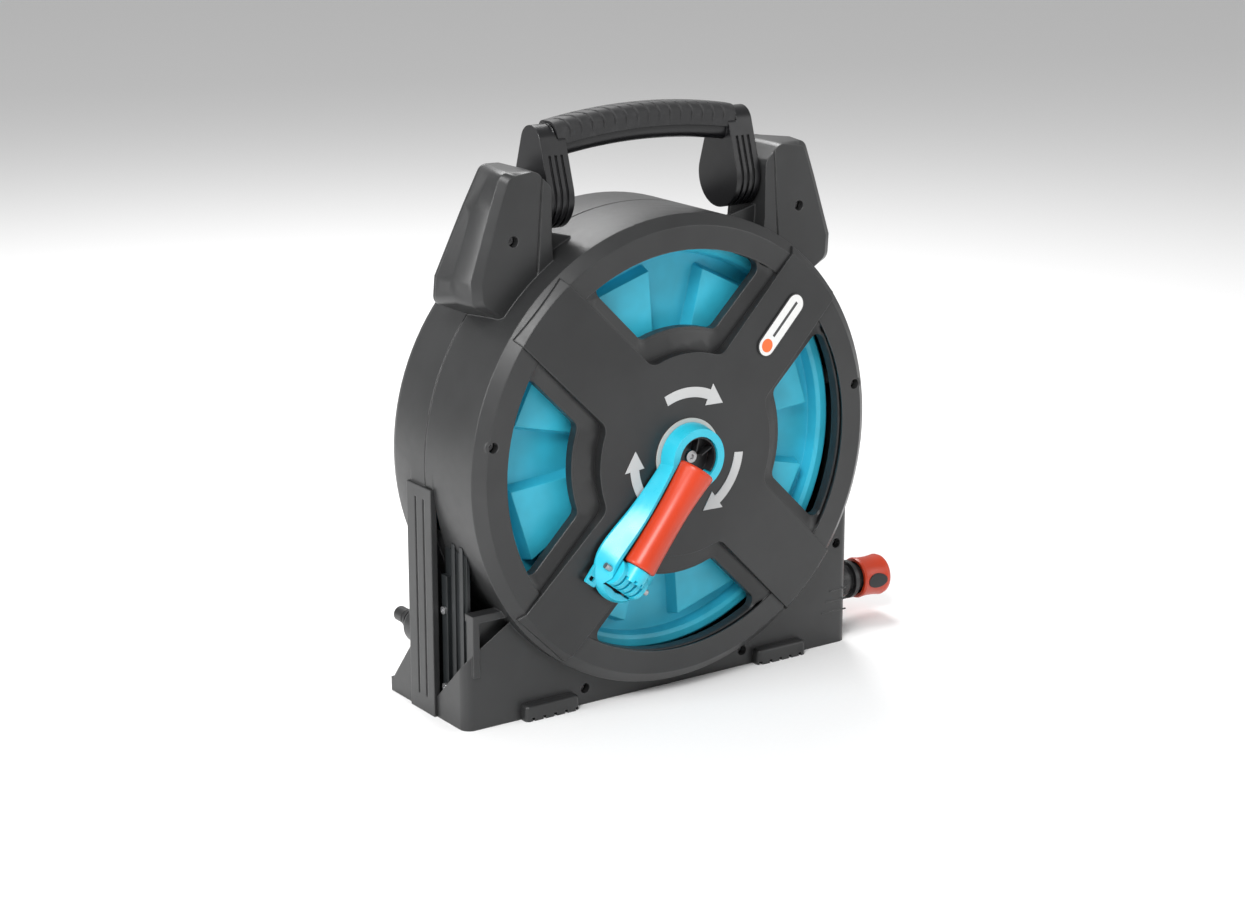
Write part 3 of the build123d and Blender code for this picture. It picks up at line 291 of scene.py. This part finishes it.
@dataclass(frozen=True)
class SoftGrip:
    """Soft overmoulded rubber: dull, dusty in its hollows."""

    name: str
    colour: Colour
    roughness: float = 0.62
    pebble_size: float = 0.7 * MM
    pebble_depth: float = 0.06 * MM
    dust_size: float = 6 * MM
    edge: float = 0.5 * MM

    @cache
    def material(self) -> bpy.types.Material:
        """Node material of this rubber, made once."""
        graph = NodeGraph(self.name)
        inputs = {"Vector": graph.point(), "Scale": 1 / self.pebble_size}
        pebble = graph.add("ShaderNodeTexVoronoi", None, inputs)
        dust = graph.noise(self.dust_size, 4.0)
        pale = tuple(c * 1.5 + 0.01 for c in self.colour)
        colour = graph.blend(dust.smooth(0.45, 0.75) * 0.5, self.colour, pale)
        rough = self.roughness + (dust - 0.5) * 0.2
        rounded = graph.rounded_normal(self.edge)
        normal = graph.bumpy(pebble, 0.5, self.pebble_depth, Normal=rounded)
        return graph.finish(colour, rough, normal)


@dataclass(frozen=True)
class PlatedSteel:
    """Zinc-plated fastener: metal with fine turning marks and a mottled spangle."""

    name: str
    colour: Colour = (0.52, 0.52, 0.53)
    spangle_size: float = 1.2 * MM
    scratch_size: float = 0.2 * MM
    scratch_depth: float = 0.02 * MM
    edge: float = 0.3 * MM

    @cache
    def material(self) -> bpy.types.Material:
        """Node material of this metal, made once."""
        graph = NodeGraph(self.name)
        spangle = graph.noise(self.spangle_size, 3.0)
        scratch = graph.noise(self.scratch_size, 2.0, stretch=(1.0, 0.1, 1.0))
        colour = graph.blend(spangle, tuple(c * 0.7 for c in self.colour), self.colour)
        rough = 0.26 + spangle * 0.16 + scratch * 0.08
        rounded = graph.rounded_normal(self.edge)
        normal = graph.bumpy(scratch, 0.4, self.scratch_depth, Normal=rounded)
        return graph.finish(colour, rough, normal, Metallic=1.0)


class StripeRule(Enum):
    """Where a hose's stripes get their angle round the tube from."""

    SURFACE_MAP = "the piece's own UV map, round the tube in U"
    STRAIGHT_RUN = "the place round a straight run along X"


@dataclass(frozen=True)
class StripedHose:
    """Grey garden hose with turquoise stripes and a faint braid under its skin."""

    name: str
    rule: StripeRule
    colour: Colour = (0.085, 0.09, 0.095)
    stripe: Colour = (0.03, 0.38, 0.44)
    stripes: int = 4
    height: float = 38 * MM
    bloom_size: float = 14 * MM
    skin_size: float = 0.8 * MM
    skin_depth: float = 0.05 * MM

    def _turn(self, graph: NodeGraph) -> Channel:
        """Part of a turn round the tube, from 0 to 1."""
        if self.rule is StripeRule.SURFACE_MAP:
            return graph.axes(graph.add("ShaderNodeTexCoord", output="UV"))[0]
        _, y, z = graph.axes()
        settings = {"operation": "ARCTAN2"}
        angle = graph.add("ShaderNodeMath", settings, {0: z - self.height, 1: y})
        return angle / math.tau + 0.5

    @cache
    def material(self) -> bpy.types.Material:
        """Node material of this hose, made once."""
        graph = NodeGraph(self.name)
        wave = (self._turn(graph) * math.tau * self.stripes).sine()
        band = wave.smooth(0.72, 0.80)
        bloom = graph.noise(self.bloom_size, 3.0)
        skin = graph.noise(self.skin_size, 2.0)
        dark = tuple(c * 0.8 for c in self.colour)
        light = tuple(c * 1.2 for c in self.colour)
        ground = graph.blend(bloom, dark, light)
        colour = graph.blend(band, ground, self.stripe)
        rough = 0.38 + bloom * 0.14 + skin * 0.05
        return graph.finish(colour, rough, graph.bumpy(skin, 0.4, self.skin_depth))


@dataclass(frozen=True)
class Badge:
    """Blank pale badge with a plain orange dot and one dark bar."""

    name: str
    centre: Colour
    length: float
    along: tuple[float, float] = (math.sqrt(0.5), math.sqrt(0.5))
    dot_radius: float = 5.6 * MM
    dot_inset: float = 9.5 * MM
    bar_shift: float = 6 * MM
    bar_share: float = 0.29
    bar_half_width: float = 1.3 * MM
    face_radius: float = 8.0 * MM
    border: float = 1 * MM
    ink: Colour = (0.05, 0.05, 0.05)
    rim_colour: Colour = (0.03, 0.03, 0.03)
    dot_colour: Colour = (0.82, 0.15, 0.03)

    def material(self) -> bpy.types.Material:
        """Node material of this badge."""
        graph = NodeGraph(self.name)
        x, _, z = graph.axes()
        right, up = x - self.centre[0], z - self.centre[2]
        run = right * self.along[0] + up * self.along[1]
        side = up * self.along[0] - right * self.along[1]
        dot_run = run + (self.length / 2 - self.dot_inset)
        dot = (dot_run * dot_run + side * side).below(self.dot_radius ** 2)
        bar_length = (run - self.bar_shift).size().below(self.length * self.bar_share)
        bar = bar_length * side.size().below(self.bar_half_width)
        straight = self.length / 2 - (self.face_radius + self.border)
        past_end = (run.size() - straight).at_least(0.0)
        rim = (past_end * past_end + side * side).above(self.face_radius ** 2)
        print_wear = graph.noise(2 * MM, 3.0)
        white = graph.blend(print_wear, (0.72, 0.72, 0.71), (0.82, 0.82, 0.81))
        colour = graph.blend(dot, white, self.dot_colour)
        colour = graph.blend(bar, colour, self.ink)
        colour = graph.blend(rim, colour, self.rim_colour)
        rough = 0.28 + print_wear * 0.12
        return graph.finish(colour, rough, graph.rounded_normal(0.4 * MM))


class Finish(Enum):
    """Every finish of the reel that more than one piece may share."""

    # Each moulding's paler edges are partly wear and partly a painted highlight.
    CASE = Moulding("case_anthracite", (0.022, 0.0225, 0.023), roughness=0.38,
                    grain=0.55 * MM, grain_depth=0.05 * MM, edge=1.6 * MM, edge_wear_and_highlight=0.8)
    COVER = Moulding("cover_anthracite", (0.016, 0.0165, 0.017), roughness=0.38,
                     grain=0.5 * MM, grain_depth=0.04 * MM, edge=1.5 * MM, edge_wear_and_highlight=0.8)
    PANEL = Moulding("panel_black", (0.010, 0.012, 0.013), roughness=0.4,
                     grain=0.5 * MM, grain_depth=0.03 * MM, edge=0.6 * MM, edge_wear_and_highlight=0.3)
    HANDLE = Moulding("handle_black", (0.004, 0.004, 0.005), roughness=0.34,
                      grain=0.6 * MM, grain_depth=0.04 * MM, edge=1.1 * MM, edge_wear_and_highlight=0.5)
    GRIP_RUBBER = SoftGrip("rubber_pebbled", (0.016, 0.016, 0.017))
    DRUM = Moulding("drum_turquoise", (0.038, 0.500, 0.690), roughness=0.42,
                    grain=0.6 * MM, grain_depth=0.03 * MM, edge=1.2 * MM, edge_wear_and_highlight=0.3)
    CRANK = Moulding("crank_cyan", (0.020, 0.490, 0.650), roughness=0.30,
                     grain=0.8 * MM, grain_depth=0.012 * MM, edge=0.8 * MM, edge_wear_and_highlight=0.35, flow=0.06,
                     coat=0.25)
    ORANGE = Moulding("orange_satin", (0.520, 0.036, 0.005), roughness=0.36,
                      grain=0.5 * MM, grain_depth=0.02 * MM, edge=0.5 * MM, edge_wear_and_highlight=0.3, flow=0.06,
                      coat=0.1)
    ARROW = Moulding("arrow_printed", (0.520, 0.520, 0.520), roughness=0.5,
                     grain=0.4 * MM, grain_depth=0.02 * MM, edge=0.3 * MM, edge_wear_and_highlight=0.2, flow=0.04)
    WEAR_RING = Moulding("ring_acetal", (0.480, 0.480, 0.460), roughness=0.42,
                         grain=0.8 * MM, grain_depth=0.01 * MM, edge=0.3 * MM, edge_wear_and_highlight=0.2,
                         flow=0.05)
    BUSH = Moulding("bush_acetal", (0.620, 0.610, 0.560), roughness=0.4,
                    grain=0.8 * MM, grain_depth=0.01 * MM, edge=0.3 * MM, edge_wear_and_highlight=0.2, flow=0.05)
    FITTING = Moulding("fitting_black", (0.016, 0.016, 0.017), roughness=0.38,
                       grain=0.5 * MM, grain_depth=0.03 * MM, edge=0.6 * MM, edge_wear_and_highlight=0.4)
    PIPE = Moulding("pipe_moulded", (0.160, 0.160, 0.165), roughness=0.45,
                    grain=0.7 * MM, grain_depth=0.02 * MM, edge=0.4 * MM, edge_wear_and_highlight=0.2)
    SEAL = SoftGrip("rubber_sealing", (0.010, 0.010, 0.010), 0.45)
    STEEL = PlatedSteel("zinc_plate")
    LEAD_HOSE = StripedHose("lead_hose_skin", StripeRule.STRAIGHT_RUN)
    WOUND_HOSE = StripedHose("wound_hose_skin", StripeRule.SURFACE_MAP)


# ---------------------------------------------------------------- surfaces
def grid_faces(rows: int, columns: int, close_rows: bool) -> np.ndarray:
    """Corner numbers of the quads of a grid whose rows are closed rings of points.

    Args:
        rows: Number of rows of points.
        columns: Number of points in a row.
        close_rows: Whether the last row joins the first.

    Returns:
        An array of four corner numbers per quad.
    """
    i = np.arange(rows if close_rows else rows - 1)
    i, j = (a.ravel() for a in np.meshgrid(i, np.arange(columns), indexing="ij"))
    here, below = i * columns, (i + 1) % rows * columns
    beside = (j + 1) % columns
    corners = [here + j, here + beside, below + beside, below + j]
    return np.stack(corners, axis=1)


def surface(name: str, points: np.ndarray, crease: float, close_rows: bool = False,
            turns: float = 1.0) -> bpy.types.Object:
    """Closed skin through a grid of points, with its doubles merged and its faces outwards.

    Args:
        name: The piece's name.
        points: Rows by columns by 3 array of places in metres; each row is a closed ring.
        crease: Angle in degrees from which an edge stays sharp.
        close_rows: Whether the last row joins the first.
        turns: How often the UV map's V repeats along the rows.

    Returns:
        The piece, not yet riding on a body.
    """
    rows, columns = points.shape[:2]
    quads = grid_faces(rows, columns, close_rows)
    mesh = bpy.data.meshes.new(name)
    mesh.from_pydata(points.reshape(-1, 3).tolist(), [], quads.tolist())
    u = (np.arange(len(quads)) % columns) / columns
    v = (np.arange(len(quads)) // columns) / rows * turns
    far_u, far_v = u + 1.0 / columns, v + turns / rows
    corners = [(u, v), (far_u, v), (far_u, far_v), (u, far_v)]
    uv = np.stack([np.stack(corner, 1) for corner in corners], axis=1)
    mesh.uv_layers.new(name="skin").data.foreach_set("uv", uv.astype(np.float32).ravel())
    work = bmesh.new()
    work.from_mesh(mesh)
    bmesh.ops.remove_doubles(work, verts=work.verts, dist=MERGE_DISTANCE / 2)
    bmesh.ops.recalc_face_normals(work, faces=work.faces)
    work.to_mesh(mesh)
    work.free()
    mesh.shade_smooth()
    mesh.set_sharp_from_angle(angle=math.radians(crease))
    piece = bpy.data.objects.new(name, mesh)
    bpy.context.scene.collection.objects.link(piece)
    return piece


def unit(vector: Any) -> np.ndarray:
    """Vector of length one in the same direction."""
    vector = np.asarray(vector, float)
    return vector / np.linalg.norm(vector)


def turned_points(profile: np.ndarray, origin: np.ndarray, axis: np.ndarray,
                  segments: int) -> np.ndarray:
    """Grid of a turned shape: origin + axis * height + radius * (cos a * side + sin a * third).

    Args:
        profile: Rows of (radius, height) in metres.
        origin: Point on the axis at height 0.
        axis: Direction of the axis.
        segments: Number of points round the axis.

    Returns:
        Profile rows by segments by 3 array of places.
    """
    axis = unit(axis)
    side = unit(np.cross(axis, (0.0, 1.0, 0.0) if abs(axis[1]) < 0.9 else (1.0, 0.0, 0.0)))
    third = np.cross(axis, side)
    angle = np.arange(segments) / segments * math.tau
    circle = np.cos(angle)[:, None] * side + np.sin(angle)[:, None] * third
    radius, height = profile[:, 0, None, None], profile[:, 1, None, None]
    return origin + height * axis + radius * circle[None]


def tube_points(path: np.ndarray, radius: float, sides: int, up: np.ndarray) -> np.ndarray:
    """Grid of a round tube: each ring lies square to the path, turned by one fixed direction.

    Args:
        path: Rows of places along the middle of the tube.
        radius: Radius of the tube in metres.
        sides: Number of points round it.
        up: Direction that is never along the path.

    Returns:
        Path rows by sides by 3 array, its end rows drawn in to close the ends.
    """
    way = np.gradient(path, axis=0)
    way /= np.linalg.norm(way, axis=1)[:, None]
    side = np.cross(way, up)
    side /= np.linalg.norm(side, axis=1)[:, None]
    third = np.cross(way, side)
    angle = np.arange(sides) / sides * math.tau
    cosine, sine = np.cos(angle)[None, :, None], np.sin(angle)[None, :, None]
    rings = cosine * side[:, None] + sine * third[:, None]
    grid = path[:, None] + radius * rings
    ends = [np.repeat(path[k][None, None], sides, axis=1) for k in (0, -1)]
    return np.concatenate([ends[0], grid, ends[1]])


def arc_points(centre: tuple[float, float], radius: float, start: float, end: float,
               count: int) -> np.ndarray:
    """Points of an arc in a section, from one angle to another in degrees."""
    angle = np.radians(np.linspace(start, end, count))
    x, y = centre[0] + radius * np.cos(angle), centre[1] + radius * np.sin(angle)
    return np.stack([x, y], axis=1)


# ---------------------------------------------------------------- pieces on the frame
def joint(name: str) -> dict:
    """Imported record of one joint."""
    return next(j for j in frame["joints"] if j["name"] == name)


def body_of(node: str) -> str:
    """Name of the body that a CAD node rides on."""
    groups = frame["record"]["behaviour"]["bodies"]
    return next(body for body, members in groups.items() if node in members)


def slot_of(node: str) -> str:
    """Material slot of a CAD node."""
    return next(s["material_slot"] for s in frame["record"]["subparts"] if s["node"] == node)


def put(piece: bpy.types.Object, material: bpy.types.Material, *nodes: str) -> bpy.types.Object:
    """Dress a new piece and let it stand for CAD nodes on their body.

    Args:
        piece: The new piece.
        material: Its material.
        nodes: The nodes it stands for; the first one names its body.

    Returns:
        The same piece.
    """
    piece.data.materials.clear()
    piece.data.materials.append(material)
    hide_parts(*nodes)
    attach(piece, body_of(nodes[0]))
    slot_of(nodes[0])
    LOG.info("%s stands for %s", piece.name, ", ".join(nodes))
    return piece


def smoothed(node: str, material: bpy.types.Material,
             crease: float = 28.0) -> bpy.types.Object:
    """Copy of a CAD node with merged points, soft curved faces and crisp edges.

    Args:
        node: The CAD node.
        material: Its material.
        crease: Angle in degrees from which an edge stays sharp.

    Returns:
        The copy, riding on the node's body in its place.
    """
    mesh = frame["nodes"][node].data.copy()
    work = bmesh.new()
    work.from_mesh(mesh)
    bmesh.ops.remove_doubles(work, verts=work.verts, dist=MERGE_DISTANCE)
    work.to_mesh(mesh)
    work.free()
    stored = mesh.attributes.get("custom_normal")
    if stored:
        mesh.attributes.remove(stored)
    mesh.shade_smooth()
    mesh.set_sharp_from_angle(angle=math.radians(crease))
    piece = bpy.data.objects.new(node + "_moulding", mesh)
    bpy.context.scene.collection.objects.link(piece)
    weigh = piece.modifiers.new("face weight", "WEIGHTED_NORMAL")
    weigh.keep_sharp = True
    weigh.weight = FACE_WEIGHT
    return put(piece, material, node)


@dataclass
class SubAssembly:
    """Pieces that are carried over from the CAD with one finish each."""

    carried: dict[str, Finish] = field(default_factory=dict)

    def build(self) -> None:
        """Dress every carried piece, then make the new ones."""
        for node, finish in self.carried.items():
            smoothed(node, finish.value.material())
        self.make()

    def make(self) -> None:
        """Make the sub-assembly's new pieces."""


@dataclass
class Case(SubAssembly):
    """Two shells, star cover, badge, arrows, side panel, feet and their screws."""

    carried: dict[str, Finish] = field(default_factory=lambda: {
        "front_shell": Finish.CASE,
        "rear_shell": Finish.CASE,
        "front_cover": Finish.COVER,
        "direction_arrows": Finish.ARROW,
        "side_panel": Finish.PANEL,
        "foot_pads": Finish.CASE,
        "case_screws": Finish.STEEL,
        "panel_screws": Finish.STEEL,
        "front_bush": Finish.BUSH,
        "rear_bush": Finish.BUSH,
        "handle_pivots": Finish.STEEL,
    })

    badge_width: float = 18 * MM

    def make(self) -> None:
        """Dress the badge, which slants at 45 degrees; its print is centred on it."""
        low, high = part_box("label_plate")
        centre = tuple((low + high) / 2)
        length = (high.x - low.x - self.badge_width) * math.sqrt(2) + self.badge_width
        smoothed("label_plate", Badge("badge_print", centre, length).material())


@dataclass
class CarryHandle(SubAssembly):
    """Folding carry handle with a soft ribbed grip."""

    carried: dict[str, Finish] = field(
        default_factory=lambda: {"handle_frame": Finish.HANDLE})
    bar_thickness: float = 28 * MM
    bar_depth: float = 24 * MM
    cover: float = 1.5 * MM
    arch: float = 8.5 * MM
    span: float = 90.75 * MM
    half_length: float = 85.0 * MM
    rib_pitch: float = 10.5 * MM
    rib_depth: float = 1.5 * MM
    rib_slant: float = 0.42
    groove_half_width: float = 1.1 * MM
    ribs_start: float = -1.0 * MM
    ribs_fade: float = 6 * MM
    plain_end: float = 7 * MM
    end_fade: float = 1 * MM
    corner: float = 9.5 * MM
    lower_edge: float = -3.0 * MM
    wall: float = 2.6 * MM
    steps: int = 420

    def section(self) -> np.ndarray:
        """Closed section of the grip's sleeve: an outer arch and, back along it, an inner arch."""
        half, top = self.bar_depth / 2 + self.cover, self.bar_thickness / 2 + self.cover
        corner, floor = self.corner, self.lower_edge
        outer = np.concatenate([
            np.stack([np.full(5, half), np.linspace(floor, top - corner, 5)], 1),
            arc_points((half - corner, top - corner), corner, 0, 90, 12),
            np.stack([np.linspace(half - corner, corner - half, 9), np.full(9, top)], 1)[1:-1],
            arc_points((corner - half, top - corner), corner, 90, 180, 12),
            np.stack([np.full(5, -half), np.linspace(top - corner, floor, 5)], 1),
        ])
        inner = outer * (1 - self.wall / half)
        inner[:, 1] = np.maximum(inner[:, 1], floor)
        return np.concatenate([outer, inner[::-1]])

    def make(self) -> None:
        """Carry the section along the arch; ribs sink it where a slanted wave is low."""
        low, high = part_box("handle_grip")
        middle = (low.y + high.y) / 2
        top = high.z - self.cover - self.bar_thickness / 2
        bend = (self.span ** 2 + self.arch ** 2) / (2 * self.arch)
        section = self.section()
        x = np.linspace(-self.half_length, self.half_length, self.steps)
        angle = np.arcsin(x / bend)
        outward = np.stack([np.sin(angle), np.zeros_like(x), np.cos(angle)], axis=1)
        line = np.stack([x, np.full_like(x, middle), top - bend + bend * np.cos(angle)], axis=1)
        count = len(section) // 2
        across, height = section[:, 0], section[:, 1]
        phase = (x[:, None] + self.rib_slant * across[None]) / self.rib_pitch
        near = np.abs((phase % 1.0) - 0.5) * self.rib_pitch
        groove = np.clip(1.0 - near / self.groove_half_width, 0.0, 1.0)
        outer = np.arange(len(section)) < count
        upper = np.clip((height - self.ribs_start) / self.ribs_fade, 0.0, 1.0) * outer
        from_end = np.abs(x) - self.half_length + self.plain_end
        inset = np.clip(from_end / self.end_fade, 0.0, 1.0)
        sink = self.rib_depth * groove * upper[None] * (1 - inset)[:, None]
        reach = np.hypot(across, height)
        scale = 1.0 - sink / reach[None]
        points = line[:, None] + outward[:, None] * (height * scale)[..., None]
        points[..., 1] += across[None] * scale
        put(self.end_caps(points), Finish.GRIP_RUBBER.value.material(), "handle_grip")

    @staticmethod
    def end_caps(points: np.ndarray) -> bpy.types.Object:
        """Close both ends by folding the outer arch onto the inner one."""
        half = points.shape[1] // 2
        closing = []
        for row in (points[0], points[-1]):
            folded = row.copy()
            folded[:half] = row[::-1][:half]
            closing.append(folded[None])
        grid = np.concatenate([closing[0], points, closing[1]])
        return surface("grip_sleeve_ribs", grid, crease=50.0)


@dataclass
class HoseDrum(SubAssembly):
    """Drum with its flanges, axle, screws and the hose wound on it."""

    carried: dict[str, Finish] = field(default_factory=lambda: {
        "front_flange": Finish.DRUM,
        "rear_flange": Finish.DRUM,
        "drum_core": Finish.DRUM,
        "drum_screws": Finish.STEEL,
        "drum_axle": Finish.BUSH,
        "drum_feed": Finish.PIPE,
        "crank_screw": Finish.STEEL,
    })
    hose_radius: float = 8.0 * MM
    turns_per_layer: int = 4
    layers: int = 7
    layer_pitch: float = 14.4 * MM
    skin_gap: float = 0.1 * MM
    steps_per_turn: int = 60
    sides: int = 14
    rows_per_map: int = 40

    def make(self) -> None:
        """Wind the hose: it advances a width a turn, climbs a layer at each flange, comes back."""
        low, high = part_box("wound_hose")
        core = (high.z - low.z) / 2 - self.hose_radius - (self.layers - 1) * self.layer_pitch
        span = (high.y - low.y) - 2 * self.hose_radius - 2 * self.skin_gap
        pitch = span / (self.turns_per_layer - 1)
        steps = self.turns_per_layer * self.layers * self.steps_per_turn
        turn = np.arange(steps + 1) / self.steps_per_turn
        layer = np.minimum(turn // self.turns_per_layer, self.layers - 1)
        part = turn - layer * self.turns_per_layer
        advance = np.minimum(part, self.turns_per_layer - 1) * pitch
        advance = np.where(layer % 2 == 0, advance, span - advance)
        climb = np.clip(part - (self.turns_per_layer - 1), 0, 1)
        climb = np.where(layer < self.layers - 1, climb * climb * (3 - 2 * climb), 0)
        radius = core + (layer + climb) * self.layer_pitch
        angle = turn * math.tau
        centre = (low + high) / 2
        path = np.stack([centre.x + radius * np.cos(angle),
                         low.y + self.hose_radius + self.skin_gap + advance,
                         centre.z + radius * np.sin(angle)], axis=1)
        along_axle = np.array((0.0, 1.0, 0.0))
        grid = tube_points(path, self.hose_radius - self.skin_gap, self.sides, along_axle)
        turns = len(path) / self.rows_per_map
        winding = surface("hose_winding", grid, crease=60.0, turns=turns)
        put(winding, Finish.WOUND_HOSE.value.material(), "wound_hose")


@dataclass
class Crank(SubAssembly):
    """Crank arm with its folding, turning grip."""

    carried: dict[str, Finish] = field(default_factory=lambda: {
        "crank_arm": Finish.CRANK,
        "hinge_pin": Finish.STEEL,
        "grip_spindle": Finish.CRANK,
        "grip_retainer": Finish.STEEL,
        # The hub cup is a black liner in the crank's hub: painted shade for the deep, shadowed hole.
        "hub_cup": Finish.FITTING,
        "hub_collar": Finish.WEAR_RING,
    })
    sleeve_start: float = 8 * MM
    sleeve_length: float = 92 * MM
    free_radius: float = 15.5 * MM
    waist_radius: float = 12.6 * MM
    root_radius: float = 13.5 * MM
    waist_place: float = 0.52
    free_round: float = 2.4 * MM
    root_round: float = 2.0 * MM
    bore: float = 6.08 * MM
    recess_radius: float = 9.2 * MM
    recess_depth: float = 4.6 * MM
    recess_chamfer: float = 0.3 * MM
    segments: int = 72

    def profile(self) -> np.ndarray:
        """Closed (radius, height) profile: a waisted outside, rounded ends and the bore."""
        run = np.linspace(0.0, 1.0, 48)
        body_start, body_end = 2.6 * MM, self.sleeve_length - 2.2 * MM
        fall = self.free_radius - self.waist_radius
        rise = self.root_radius - self.waist_radius
        low = self.waist_place
        flare = np.where(run < low, fall * ((low - run) / low) ** 2,
                         rise * ((run - low) / (1 - low)) ** 2)
        heights = body_start + run * (body_end - body_start)
        outer = np.stack([self.waist_radius + flare, heights], axis=1)
        free_centre = (self.free_radius - self.free_round, self.free_round)
        free_end = arc_points(free_centre, self.free_round, -90, 0, 8)[:-1]
        root_centre = (self.root_radius - self.root_round, self.sleeve_length - self.root_round)
        root_end = arc_points(root_centre, self.root_round, 0, 90, 8)[1:]
        recess = np.array([
            (self.bore, self.sleeve_length),
            (self.bore, self.recess_depth),
            (self.recess_radius, self.recess_depth),
            (self.recess_radius, self.recess_chamfer),
            (self.recess_radius + self.recess_chamfer, 0.0),
        ])
        return np.concatenate([free_end, outer, root_end, recess])

    def make(self) -> None:
        """Turn the grip sleeve about its spindle."""
        spin = joint("grip_spin")
        towards_hub = unit(spin["axis"])
        hub = np.array(joint("drum_spin")["pos_m"])
        over_hub = np.array([hub[0], spin["pos_m"][1], hub[2]])
        start = over_hub - towards_hub * self.sleeve_start
        grid = turned_points(self.profile(), start, -towards_hub, self.segments)
        piece = surface("grip_sleeve_turned", grid, crease=50.0, close_rows=True)
        put(piece, Finish.ORANGE.value.material(), "grip_sleeve")


@dataclass
class WaterWay(SubAssembly):
    """Inlet, supply pipe, swivel, hose run and outlet connector."""

    carried: dict[str, Finish] = field(default_factory=lambda: {
        "swivel_elbow": Finish.FITTING,
        "swivel_seals": Finish.SEAL,
        "supply_pipe": Finish.PIPE,
        "inlet_socket": Finish.FITTING,
        "inlet_nipple": Finish.FITTING,
        "inlet_seal": Finish.SEAL,
        "pipe_cover": Finish.CASE,
        "cover_screws": Finish.STEEL,
        "outlet_guide": Finish.FITTING,
        "lead_hose": Finish.LEAD_HOSE,
        "hose_nut": Finish.FITTING,
        "connector_body": Finish.FITTING,
        "connector_collar": Finish.ORANGE,
        "collar_pads": Finish.GRIP_RUBBER,
        "connector_seal": Finish.SEAL,
    })


# ---------------------------------------------------------------- studio
@dataclass
class Studio:
    """Pale floor, soft lights and the camera."""

    camera_place: Colour = (-1.1957, -1.7231, 0.7761)
    camera_aim: Colour = (-0.0583, -0.0690, 0.2102)
    lens: float = 76.08
    sensor_width: float = 36.0
    light_aim: Colour = (0.0, 0.0, 0.22)
    surroundings: float = 0.46
    floor_half: float = 12.0
    fibre_size: float = 4 * MM
    fibre_depth: float = 0.02 * MM

    def build(self) -> None:
        """Place everything that isn't part of the reel."""
        self.floor()
        self.camera()
        self.world()
        self.light("key", (-1.7, -1.5, 2.3), 1.1, 66.0)
        self.light("left_wall", (-2.4, 0.1, 1.0), 0.9, 34.0)
        self.light("right_fill", (1.9, -1.7, 1.1), 1.4, 12.0)
        self.light("top_rim", (0.4, 1.2, 1.9), 1.0, 34.0)

    def floor(self) -> None:
        """Matte pale floor."""
        half = self.floor_half
        mesh = bpy.data.meshes.new("floor")
        corners = [(-half, -half, 0), (half, -half, 0), (half, half, 0), (-half, half, 0)]
        mesh.from_pydata(corners, [], [(0, 1, 2, 3)])
        piece = bpy.data.objects.new("floor", mesh)
        bpy.context.scene.collection.objects.link(piece)
        graph = NodeGraph("floor_paper")
        fibre = graph.noise(self.fibre_size, 3.0)
        colour = graph.blend(fibre, (0.90, 0.90, 0.90), (0.93, 0.93, 0.93))
        normal = graph.bumpy(fibre, 1.0, self.fibre_depth)
        mesh.materials.append(graph.finish(colour, 0.8 + fibre * 0.1, normal))

    def camera(self) -> None:
        """Camera with a long lens, level with the top of the reel."""
        data = bpy.data.cameras.new("camera")
        data.lens = self.lens
        data.sensor_width = self.sensor_width
        piece = bpy.data.objects.new("camera", data)
        bpy.context.scene.collection.objects.link(piece)
        piece.location = self.camera_place
        aim = Vector(self.camera_aim) - Vector(self.camera_place)
        piece.rotation_euler = aim.to_track_quat("-Z", "Y").to_euler()
        bpy.context.scene.camera = piece

    def light(self, name: str, place: Colour, size: float, power: float) -> None:
        """One soft box that faces the middle of the reel."""
        data = bpy.data.lights.new(name, "AREA")
        data.size = size
        data.energy = power
        piece = bpy.data.objects.new(name, data)
        bpy.context.scene.collection.objects.link(piece)
        piece.location = place
        aim = Vector(self.light_aim) - Vector(place)
        piece.rotation_euler = aim.to_track_quat("-Z", "Y").to_euler()

    def world(self) -> None:
        """Even white surroundings."""
        world = bpy.data.worlds.new("studio")
        world.use_nodes = True
        background = world.node_tree.nodes["Background"]
        background.inputs["Color"].default_value = WHITE
        background.inputs["Strength"].default_value = self.surroundings
        bpy.context.scene.world = world
        bpy.context.scene.view_settings.view_transform = "Standard"


def main() -> None:
    """Build the reel in order."""
    logging.basicConfig(level=logging.INFO, format="%(name)s: %(message)s")
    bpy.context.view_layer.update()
    Studio().build()
    for part in (Case(), CarryHandle(), HoseDrum(), Crank(), WaterWay()):
        part.build()
        LOG.info("%s is built", type(part).__name__)


if __name__ == "__main__":
    main()
